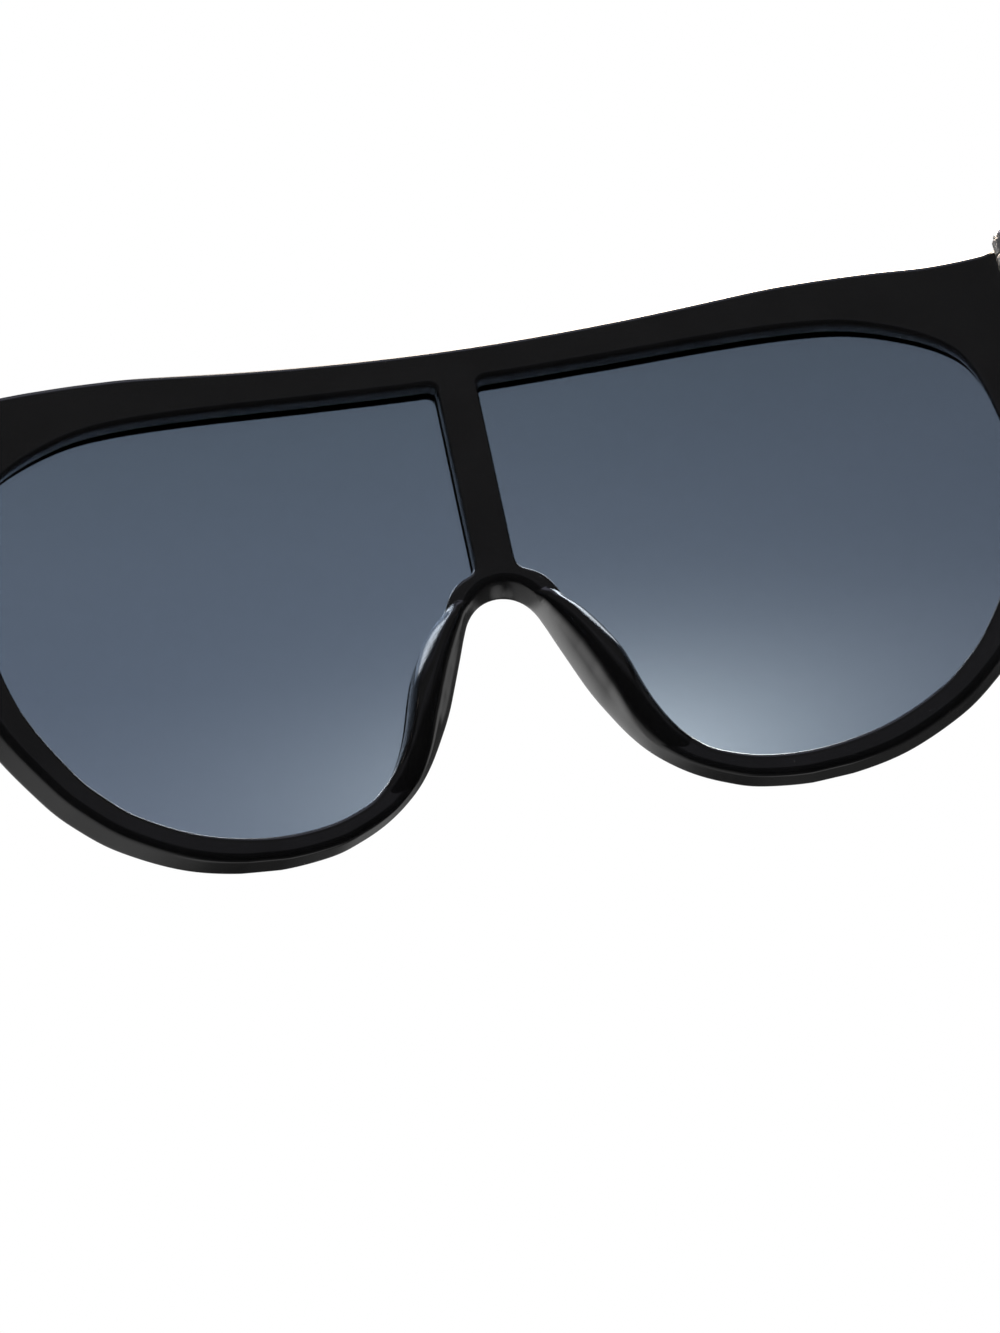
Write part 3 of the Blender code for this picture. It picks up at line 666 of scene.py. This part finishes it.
def build_pad(node, side, material):
    """A nose pad that flows out of the nose gap's wall, with its ridge towards the lens."""
    lens_points = opening_points(opening_nose_shares)[pad_lens_points]
    lens_side = smooth_run(lens_points[::-1], outline_step)
    nose_side = smooth_run(gap_points()[pad_gap_points], outline_step)
    stations = smooth_run([Vector(row) for row in pad_shares], 1 / pad_stations)
    first, last = pad_power_range
    bm = bmesh.new()
    rings = []
    for along, rise in stations:
        lens_point = sample(lens_side, along)
        nose_point = sample(nose_side, along)
        across = (lens_point - nose_point).normalized()
        wall_way = sample(nose_side, along + 1 / pad_stations) - sample(nose_side, along - 1 / pad_stations)
        lean = nose_share(nose_point) / max(abs(across.cross(wall_way.normalized())), pad_least_slant)
        power = blend(pad_top_power, pad_low_power, (along - first) / (last - first))
        ring = pad_section((lens_point - nose_point).length, lean, max(rise, 0), power)
        spots = [(nose_point + across * p.x, p.y) for p in ring]
        rings.append([bm.verts.new(on_front(side * spot.x, spot.y, depth)) for spot, depth in spots])
    loft(bm, rings)
    show(make_piece(node.replace("pad", "pad_surface"), bm, material), node)


def sample(run, share):
    """The point at a share of the way through a run of points."""
    place = min(max(share, 0), 1) * (len(run) - 1)
    index = min(int(place), len(run) - 2)
    return run[index].lerp(run[index + 1], place - index)


def loft(bm, rings):
    """Walls between neighbouring rings, and a cap on each end."""
    for lower, upper in zip(rings, rings[1:]):
        add_wall(bm, lower, upper)
    bm.faces.new(rings[0])
    bm.faces.new(rings[-1][::-1])


# Temples
def temple_line(distance):
    """A point of the temple's middle line in the side view, and the slope there."""
    start = Vector((butt_y + end_gap, hinge_height))
    run = min(distance, temple_run)
    point = start + Vector((math.cos(temple_slope), -math.sin(temple_slope))) * run
    bend = min(max(distance - temple_run, 0), ear_length)
    slope = temple_slope + bend / ear_radius
    point.x += ear_radius * (math.sin(slope) - math.sin(temple_slope))
    point.y -= ear_radius * (math.cos(temple_slope) - math.cos(slope))
    rest = max(distance - temple_run - ear_length, 0)
    point += Vector((math.cos(slope), -math.sin(slope))) * rest
    return point, slope


def temple_length():
    """Length of the middle line at which the round tip just reaches the ground."""
    point, slope = temple_line(temple_run + ear_length)
    drop = point.y - temple_tip_height / 2 + tip_cut
    return temple_run + ear_length + drop / math.sin(slope)


def blend(a, b, share):
    """Eases from a to b as the share goes from 0 to 1."""
    share = min(1, max(0, share))
    return a + (b - a) * share * share * (3 - 2 * share)


def temple_size(distance):
    """Height and thickness of the temple at a distance along it."""
    past_bend = (distance - temple_run) / (temple_length() - temple_run)
    height = blend(end_tab_height, temple_mid_height, distance / (temple_run * slimming_share))
    taper = (distance - taper_start) / (taper_end - taper_start)
    thickness = blend(front_depth + back_depth, temple_thickness, taper)
    return blend(height, temple_tip_height, past_bend), blend(thickness, tip_thickness, past_bend)


def inner_x():
    """Distance from the middle to the flat inner side of a turned end."""
    return on_front(end_tab_reach, 0, back_depth).x


def section(side, distance, height, thickness, corner):
    """A rounded rectangle across the temple, flush with the turned end's inner side."""
    centre, slope = temple_line(distance)
    tilt = blend(0, slope, distance / taper_start)
    full_thickness = temple_size(distance)[1]
    per_corner = section_sides // 4
    ring = []
    for quarter, (sign_x, sign_z) in enumerate(((1, 1), (-1, 1), (-1, -1), (1, -1))):
        for k in range(per_corner):
            angle = (quarter + k / (per_corner - 1)) * math.pi / 2
            out = sign_x * (thickness / 2 - corner) + corner * math.cos(angle)
            up = sign_z * (height / 2 - corner) + corner * math.sin(angle)
            x = inner_x() + full_thickness / 2 + out
            y = centre.x + up * math.sin(tilt)
            z = centre.y + up * math.cos(tilt)
            ring.append(Vector((side * x, y, max(z, 0))))
    return ring


def temple_stations():
    """Places along the temple: distance, share of the height and of the thickness, and inset."""
    length = temple_length()
    rows = []
    for angle in quarter_turn(round_segments)[:-1]:
        rows.append((temple_end_radius * (1 - math.cos(angle)), 1, temple_end_radius * (1 - math.sin(angle))))
    steps = round(length / temple_step)
    rows += [(length * k / steps, 1, 0) for k in range(1, steps)]
    for angle in quarter_turn(tip_steps)[:-1]:
        rows.append((length + temple_tip_height / 2 * math.sin(angle), math.cos(angle), 0))
    return rows


def build_temple(node, side, material):
    """A temple lofted through its sections, from the hinge to the round tip."""
    bm = bmesh.new()
    rings = []
    for distance, share, inset in temple_stations():
        height, thickness = temple_size(distance)
        height = height * share - 2 * inset
        thickness = thickness * (1 + share) / 2 - 2 * inset
        corner = min(temple_corner, round_corner_share * height / 2, round_corner_share * thickness / 2)
        rings.append([bm.verts.new(p) for p in section(side, distance, height, thickness, corner)])
    loft(bm, rings)
    show(make_piece(node.replace("temple", "temple_surface"), bm, material), node)


# Hinges, screws and rivets
def hinge_axis(side):
    """Middle of a hinge's axis, where the frame's joint on that side has it."""
    return next(Vector(joint["pos_m"]) for joint in frame["joints"] if joint["pos_m"][0] * side > 0)


def turned(name, profile, matrix, material):
    """A solid turned round its own Z axis. The profile gives heights and the radius at each."""
    bm = bmesh.new()
    rings = []
    angles = [k / round_sides * 2 * math.pi for k in range(round_sides)]
    for height, radius in profile:
        places = [Vector((radius * math.cos(angle), radius * math.sin(angle), height)) for angle in angles]
        rings.append([bm.verts.new(matrix @ place) for place in places])
    loft(bm, rings)
    return make_piece(name, bm, material)


def cut(target, tool):
    """Cuts a tool out of a piece, rounds the piece's edges and keeps only the finished mesh."""
    modifier = target.modifiers.new(tool.name, "BOOLEAN")
    modifier.operation = "DIFFERENCE"
    modifier.solver = "EXACT"
    modifier.object = tool
    modifier = target.modifiers.new("rounded_edges", "BEVEL")
    modifier.width = steel_bevel
    modifier.segments = bevel_steps
    modifier.limit_method = "ANGLE"
    modifier.angle_limit = smooth_angle
    modifier.harden_normals = True
    graph = bpy.context.evaluated_depsgraph_get()
    finished = bpy.data.meshes.new_from_object(target.evaluated_get(graph))
    target.modifiers.clear()
    target.data = finished
    bpy.data.objects.remove(tool)


def hinge_outlines():
    """A hinge leaf and its knuckle seen from above: offsets from the axis, out to the side and along."""
    back = knuckle_radius + face_clearance - seat_gap
    face = back - leaf_thickness
    leaf_end = leaf_start + leaf_length
    leaf = [(back, leaf_start), (back, leaf_end), (face, leaf_end), (face, leaf_start)]
    begin = math.acos(face / knuckle_radius)
    turn = 2 * math.pi + math.acos(back / knuckle_radius) - begin
    angles = [begin + turn * k / round_sides for k in range(round_sides + 1)]
    knuckle = [(knuckle_radius * math.cos(angle), knuckle_radius * math.sin(angle)) for angle in angles]
    return leaf, knuckle


def hinge_ring(bm, axis, side, way, outline, level):
    """Vertices along an outline of a hinge half, at a level over the hinge's middle."""
    return [bm.verts.new(axis + Vector((side * out, way * along, level))) for out, along in outline]


def build_hinge(node, side, way, layers, material):
    """A hinge half: a leaf on the plastic that runs on into knuckles round the screw.

    way is -1 for the front's half and 1 for the temple's. A layer is its height, and whether the
    leaf runs on into a knuckle there.
    """
    axis = hinge_axis(side)
    leaf, knuckle = hinge_outlines()
    level = -hinge_span / 2
    bm = bmesh.new()
    lower = hinge_ring(bm, axis, side, way, leaf, level)
    bm.faces.new(lower)
    for height, has_knuckle in layers:
        low_end = [lower[3], lower[0]]
        if has_knuckle:
            low_end[1:1] = hinge_ring(bm, axis, side, way, knuckle, level)
        level += height
        upper = hinge_ring(bm, axis, side, way, leaf, level)
        high_end = [upper[3], upper[0]]
        if has_knuckle:
            high_end[1:1] = hinge_ring(bm, axis, side, way, knuckle, level)
            bm.faces.new(low_end)
            bm.faces.new(high_end)
        for low, high in ((lower, upper), (low_end, high_end)):
            for i in range(1, len(low)):
                bm.faces.new((low[i - 1], low[i], high[i], high[i - 1]))
        lower = upper
    bm.faces.new(lower)
    hinge = make_piece(node.replace("hinge", "hinge_surface"), bm, material)
    bm = bmesh.new()
    bmesh.ops.create_cone(bm, cap_ends=True, segments=round_sides, radius1=bore_radius, radius2=bore_radius,
                          depth=hinge_span + cut_overrun, matrix=Matrix.Translation(axis))
    cut(hinge, make_piece("bore", bm, None))
    show(hinge, node)


def rivet_places(side, way):
    """Middles of a hinge half's two rivets, on the plastic's inner side."""
    axis = hinge_axis(side)
    y = axis.y + way * (leaf_start + leaf_length / 2)
    return [Vector((side * inner_x(), y, axis.z + sign * rivet_spacing / 2)) for sign in (-1, 1)]


def dome(height, radius, base, way):
    """Profile of a low dome on a base: heights and the radius at each, from its rim to its top."""
    return [(base + way * height * math.sin(angle), radius * max(math.cos(angle), dome_tip_share))
            for angle in quarter_turn(dome_steps)]


def build_rivet(node, place, side, material):
    """A rivet: a low dome on the leaf and another on the plastic's outer side, with the pin between."""
    leaf_face = -(seat_gap + leaf_thickness)
    outer_face = front_depth + back_depth
    profile = dome(rivet_inner_head_height + rivet_head_gap, rivet_inner_head_radius, leaf_face, -1)[::-1]
    profile += dome(rivet_head_height + rivet_head_gap, rivet_head_radius, outer_face, 1)
    matrix = Matrix.Translation(place) @ Matrix.Rotation(side * math.pi / 2, 4, "Y")
    show(turned(node.replace("rivet", "rivet_surface"), profile, matrix, material), node)


def build_screw(node, side, material):
    """The hinge's screw: a shank through the knuckles and a slotted head on top."""
    axis = hinge_axis(side)
    seat = hinge_span / 2
    top = seat + rivet_head_gap + screw_head_height
    profile = [(-seat, screw_radius), (seat, screw_radius), (seat, screw_head_radius),
               (top - screw_head_height / 2, screw_head_radius), (top, screw_head_radius * screw_top_share)]
    screw = turned(node.replace("screw", "screw_surface"), profile, Matrix.Translation(axis), material)
    bm = bmesh.new()
    size = Vector((screw_slot_width, 2 * screw_head_radius + cut_overrun, 2 * screw_slot_depth))
    place = Matrix.Translation(axis + Vector((0, 0, top)))
    bmesh.ops.create_cube(bm, size=1, matrix=place @ Matrix.Diagonal((*size, 1)))
    cut(screw, make_piece("slot", bm, None))
    show(screw, node)


# Materials
def new_material(name):
    """A new material with a Principled shader on its output."""
    material = bpy.data.materials.new(name)
    material.use_nodes = True
    tree = material.node_tree
    return material, tree, tree.nodes["Principled BSDF"]


def feed(socket, value):
    """Sets an input to a plain value, or joins another node's output to it."""
    if isinstance(value, bpy.types.NodeSocket):
        socket.id_data.links.new(value, socket)
    else:
        socket.default_value = value


def set_inputs(changed, **inputs):
    """Feeds a node's inputs by name, with underscores for spaces."""
    for name, value in inputs.items():
        feed(changed.inputs[name.replace("_", " ")], value)


def node(tree, kind, **inputs):
    """Adds a shader node and feeds its inputs."""
    added = tree.nodes.new(kind)
    set_inputs(added, **inputs)
    return added


def put_on_surface(tree, shader):
    """Joins a shader to the material's output."""
    set_inputs(tree.nodes["Material Output"], Surface=shader)


def let_through(tree, share, shader, colour=(1, 1, 1, 1)):
    """Lets a share of the light through a surface, with a colour."""
    either = node(tree, "ShaderNodeMixShader", Fac=share)
    feed(either.inputs[1], shader.outputs["BSDF"])
    feed(either.inputs[2], node(tree, "ShaderNodeBsdfTransparent", Color=colour).outputs["BSDF"])
    put_on_surface(tree, either.outputs["Shader"])


def noise(tree, scale, detail, roughness, stretch=(1, 1, 1)):
    """A noise's value over the piece's own coordinates."""
    place = node(tree, "ShaderNodeTexCoord").outputs["Object"]
    place = node(tree, "ShaderNodeMapping", Vector=place, Scale=stretch).outputs["Vector"]
    added = node(tree, "ShaderNodeTexNoise", Vector=place, Scale=scale, Detail=detail, Roughness=roughness)
    return added.outputs["Fac"]


def spread(tree, value, from_low, from_high, to_low, to_high):
    """Maps a value from one range to another, and holds it at the ends."""
    added = node(tree, "ShaderNodeMapRange", Value=value, From_Min=from_low, From_Max=from_high,
                 To_Min=to_low, To_Max=to_high)
    return added.outputs["Result"]


def operate(tree, kind, operation, *values):
    """The outputs of a node that works on plain values or other nodes' outputs."""
    added = node(tree, kind)
    added.operation = operation
    for socket, value in zip(added.inputs, values):
        feed(socket, value)
    return added.outputs


def math_node(tree, operation, *values):
    """The result of a sum on numbers."""
    return operate(tree, "ShaderNodeMath", operation, *values)["Value"]


def split(tree, vector):
    """The X, Y and Z outputs of a vector."""
    return node(tree, "ShaderNodeSeparateXYZ", Vector=vector).outputs


def ramp(tree, value, stops):
    """A colour ramp with its stops given as place and colour."""
    added = node(tree, "ShaderNodeValToRGB", Fac=value)
    elements = added.color_ramp.elements
    while len(elements) < len(stops):
        elements.new(0.5)
    for element, (position, colour) in zip(elements, stops):
        element.position = position
        element.color = (*colour, 1)
    return added.outputs["Color"]


def tone(tree, value, tones):
    """A colour between a dark and a light tone, over a noise's usual range."""
    return ramp(tree, value, list(zip(noise_range, tones)))


def mix_colour(tree, share, first, second):
    """Mixes two colours. Their sockets come after the ones with the same names for numbers and vectors."""
    mix = node(tree, "ShaderNodeMix")
    mix.data_type = "RGBA"
    for socket, value in ((mix.inputs["Factor"], share), (mix.inputs[6], first), (mix.inputs[7], second)):
        feed(socket, value)
    return mix.outputs[2]


def bump(tree, height, strength, distance, **others):
    """Normals of a surface with a bump on it. A Normal among the others lies under the bump."""
    added = node(tree, "ShaderNodeBump", Height=height, Strength=strength, Distance=distance, **others)
    return added.outputs["Normal"]


def black_plastic(name, roughness, tones):
    """Moulded black plastic: a faint mottle, soft polishing marks and a slight waviness."""
    material, tree, shader = new_material(name)
    cloud = spread(tree, noise(tree, *cloud_noise), *noise_range, *roughness)
    hairlines = spread(tree, noise(tree, *mark_noise), *mark_range, *mark_roughness)
    waves = bump(tree, noise(tree, *wave_noise), *wave_bump)
    set_inputs(shader, Base_Color=tone(tree, noise(tree, *mottle_noise), tones),
               Roughness=math_node(tree, "ADD", cloud, hairlines),
               Normal=bump(tree, noise(tree, *grain_noise), *grain_bump, Normal=waves))
    return material


def lens_tint():
    """Clear tinted plastic, darker at the top, with a painted reflection that lightens it towards its lower edge
    near the nose.
    """
    material, tree, shader = new_material("lens_tint_surface")
    place = split(tree, node(tree, "ShaderNodeTexCoord").outputs["Object"])
    # Painted reflection: a lighter, bluish-white tint near the nose at the lower edge, fading outwards and
    # upwards, full on the wearer's right lens and weaker on the left
    aside = math_node(tree, "DIVIDE", math_node(tree, "ABSOLUTE", place["X"]), lens_painted_reflection_width)
    above = math_node(tree, "DIVIDE", math_node(tree, "SUBTRACT", place["Z"], lens_floor), lens_painted_reflection_height)
    square = math_node(tree, "ADD", math_node(tree, "POWER", aside, 2), math_node(tree, "POWER", above, 2))
    fade = math_node(tree, "POWER", square, lens_painted_reflection_power)
    painted_reflection = math_node(tree, "EXPONENT", math_node(tree, "MULTIPLY", fade, -1))
    share = spread(tree, place["X"], -half_bar, half_bar, lens_painted_reflection_right, lens_painted_reflection_left)
    height = spread(tree, place["Z"], lens_floor, lens_top, 0, 1)
    base = node(tree, "ShaderNodeVectorMath")
    base.operation = "SCALE"
    feed(base.inputs[0], ramp(tree, height, lens_colours))
    set_inputs(base, Scale=spread(tree, place["X"], -lens_outer, 0, 1 - lens_fall_share, 1))
    painted_reflection = math_node(tree, "MULTIPLY", painted_reflection, share)
    tint = mix_colour(tree, painted_reflection, base.outputs["Vector"], lens_painted_reflection_colour)
    set_inputs(shader, Base_Color=tint, IOR=lens_index, Transmission_Weight=1,
               Roughness=spread(tree, noise(tree, *smudge_noise), *smudge_range, *smudge_roughness))
    let_through(tree, node(tree, "ShaderNodeLightPath").outputs["Is Shadow Ray"], shader, tint)
    return material


def steel():
    """Satin steel with fine brushing along the hinge and a few darker specks."""
    material, tree, shader = new_material("hinge_steel_surface")
    brushed = noise(tree, *brush_noise)
    set_inputs(shader, Base_Color=tone(tree, noise(tree, *speck_noise), steel_tones), Metallic=1,
               Roughness=spread(tree, brushed, *noise_range, *steel_roughness),
               Normal=bump(tree, brushed, *brush_bump))
    return material


# Studio
def direction(azimuth, elevation):
    """A unit vector from the object, by angles in degrees: azimuth 0 is straight in front, 180 behind."""
    turn = math.radians(azimuth)
    rise = math.radians(elevation)
    return Vector((math.sin(turn) * math.cos(rise), -math.cos(turn) * math.cos(rise), math.sin(rise)))


def add_camera():
    """The camera on its place round the object, turned upright and then rolled."""
    back = direction(camera_azimuth, camera_elevation)
    level = Vector((0, 0, 1)).cross(back).normalized()
    upright = back.cross(level)
    roll = math.radians(camera_roll)
    right = level * math.cos(roll) + upright * math.sin(roll)
    up = back.cross(right)
    data = bpy.data.cameras.new("camera")
    data.lens = camera_lens
    data.sensor_width = camera_sensor
    data.clip_start = camera_clip_start
    camera = bpy.data.objects.new("camera", data)
    place = camera_aim + right * camera_aside + up * camera_down + back * camera_distance
    turn = Matrix((right, up, back)).transposed().to_4x4()
    camera.matrix_world = Matrix.Translation(place) @ turn
    bpy.context.scene.collection.objects.link(camera)
    bpy.context.scene.camera = camera


def add_lamp(name, azimuth, elevation, distance, width, height, power):
    """A soft rectangular lamp that faces the front's middle."""
    data = bpy.data.lights.new(name, "AREA")
    data.shape = "RECTANGLE"
    data.size = width
    data.size_y = height
    data.energy = power
    lamp = bpy.data.objects.new(name, data)
    away = direction(azimuth, elevation)
    lamp.location = camera_aim + away * distance
    lamp.rotation_mode = "QUATERNION"
    lamp.rotation_quaternion = away.to_track_quat("Z", "Y")
    lamp.visible_glossy = False
    bpy.context.scene.collection.objects.link(lamp)


def add_floor():
    """A pale floor that shows from above only, because the camera looks from below it."""
    material, tree, shader = new_material("floor")
    cloud = tone(tree, noise(tree, *floor_noise), floor_tones)
    set_inputs(shader, Base_Color=cloud, Roughness=floor_roughness)
    let_through(tree, node(tree, "ShaderNodeNewGeometry").outputs["Backfacing"], shader)
    bm = bmesh.new()
    bmesh.ops.create_grid(bm, x_segments=1, y_segments=1, size=floor_size / 2,
                          matrix=Matrix.Translation((0, 0, -floor_drop)))
    floor = make_object("floor", bm, material)
    floor.visible_glossy = False


def add_sphere(name, material, radius, through_lenses):
    """A sphere round the object that only reflections see, and sight through the lenses if asked."""
    bm = bmesh.new()
    bmesh.ops.create_uvsphere(bm, u_segments=sphere_steps, v_segments=sphere_steps, radius=radius)
    sphere = make_object(name, bm, material)
    sphere.data.shade_smooth()
    sphere.location = camera_aim
    sphere.visible_camera = False
    sphere.visible_diffuse = False
    sphere.visible_shadow = False
    sphere.visible_transmission = through_lenses


def sphere_material(name):
    """A new material without a shader, and the direction from the sphere's middle to a place on it."""
    material, tree, shader = new_material(name)
    tree.nodes.remove(shader)
    place = node(tree, "ShaderNodeTexCoord").outputs["Object"]
    return material, tree, operate(tree, "ShaderNodeVectorMath", "NORMALIZE", place)["Vector"]


def light(tree, colour, strength):
    """A shader that gives light."""
    return node(tree, "ShaderNodeEmission", Color=colour, Strength=strength).outputs["Emission"]


def add_surround():
    """What the reflections see instead of the bare backdrop.

    In front, below the brow's height, it grows brighter from the wearer's right to left. Behind it is
    dim, and black below the horizon.
    """
    material, tree, away = sphere_material("surround")
    parts = split(tree, away)
    across = spread(tree, parts["X"], -1, 1, 0, 1)
    rise = spread(tree, parts["Z"], -1, 1, 0, 1)
    behind = spread(tree, parts["Y"], *surround_turn_range, 0, 1)
    height = math_node(tree, "SUBTRACT", parts["Z"], math_node(tree, "MULTIPLY", parts["X"], surround_slant))
    above = spread(tree, height, *surround_upper_range, 0, 1)
    greys = [(place, (grey, grey, grey)) for place, grey in surround_front_greys]
    front = mix_colour(tree, above, ramp(tree, across, greys), surround_upper_colour)
    both = mix_colour(tree, behind, front, ramp(tree, rise, surround_back_colours))
    strength = spread(tree, parts["Z"], *surround_dim_range, surround_dim, 1)
    put_on_surface(tree, light(tree, both, strength))
    add_sphere("surround", material, surround_radius, False)


def glint(tree, away, azimuth, elevation, radius, strength):
    """A soft round patch of light, by its middle's direction and its radius."""
    middle = direction(azimuth, elevation)
    near = operate(tree, "ShaderNodeVectorMath", "DOT_PRODUCT", away, middle)["Value"]
    edge = math.cos(math.radians(radius))
    inner = math.cos(math.radians(radius) * glint_soft_share)
    return spread(tree, near, edge, inner, 0, strength)


def add_glints():
    """Soft patches of light above, beside and below, on a clear sphere."""
    material, tree, away = sphere_material("glints")
    strength = 0
    for patch in glint_patches:
        strength = math_node(tree, "ADD", glint(tree, away, *patch), strength)
    up = spread(tree, split(tree, away)["Z"], *glint_rise_range, 0, 1)
    total = node(tree, "ShaderNodeAddShader")
    feed(total.inputs[0], node(tree, "ShaderNodeBsdfTransparent").outputs["BSDF"])
    feed(total.inputs[1], light(tree, mix_colour(tree, up, glint_low_colour, glint_high_colour), strength))
    put_on_surface(tree, total.outputs["Shader"])
    add_sphere("glints", material, glint_sphere_radius, True)


def add_world():
    """A white backdrop for sight, reflections and what shows through the lenses, and a softer fill."""
    world = bpy.data.worlds.new("studio")
    world.use_nodes = True
    tree = world.node_tree
    path = node(tree, "ShaderNodeLightPath").outputs
    seen = math_node(tree, "MAXIMUM", path["Is Camera Ray"], path["Is Glossy Ray"])
    seen = math_node(tree, "MAXIMUM", seen, path["Is Transmission Ray"])
    strength = spread(tree, seen, 0, 1, world_fill, 1)
    set_inputs(tree.nodes["Background"], Color=(1, 1, 1, 1), Strength=strength)
    bpy.context.scene.world = world


plastic = black_plastic("frame_plastic_surface", frame_roughness, frame_tones)
pad_plastic = black_plastic("pad_plastic_surface", pad_roughness, pad_tones)
tint = lens_tint()
metal = steel()

add_camera()
build_front(plastic)
middle_layer = (middle_knuckle_height + 2 * knuckle_gap, False)
front_layers = [(knuckle_height, True), middle_layer, (knuckle_height, True)]
end_layer = (knuckle_height + knuckle_gap, False)
temple_layers = [end_layer, (middle_knuckle_height, True), end_layer]
# The wearer's left is +X, because the front faces -Y
for side, word in ((1, "left"), (-1, "right")):
    build_lens(f"lens_{word}", side, tint)
    build_pad(f"nose_pad_{word}", side, pad_plastic)
    build_temple(f"temple_{word}", side, plastic)
    build_hinge(f"front_hinge_{word}", side, -1, front_layers, metal)
    build_hinge(f"temple_hinge_{word}", side, 1, temple_layers, metal)
    for half, way in (("front", -1), ("temple", 1)):
        for level, place in zip(("lower", "upper"), rivet_places(side, way)):
            build_rivet(f"{half}_hinge_rivet_{level}_{word}", place, side, metal)
    build_screw(f"hinge_screw_{word}", side, metal)
    core = frame["nodes"][f"temple_core_{word}"]
    core.data.materials.clear()
    core.data.materials.append(metal)

add_floor()
add_surround()
add_glints()
add_world()
for lamp in lamps:
    add_lamp(*lamp)

bpy.context.scene.view_settings.view_transform = "Standard"
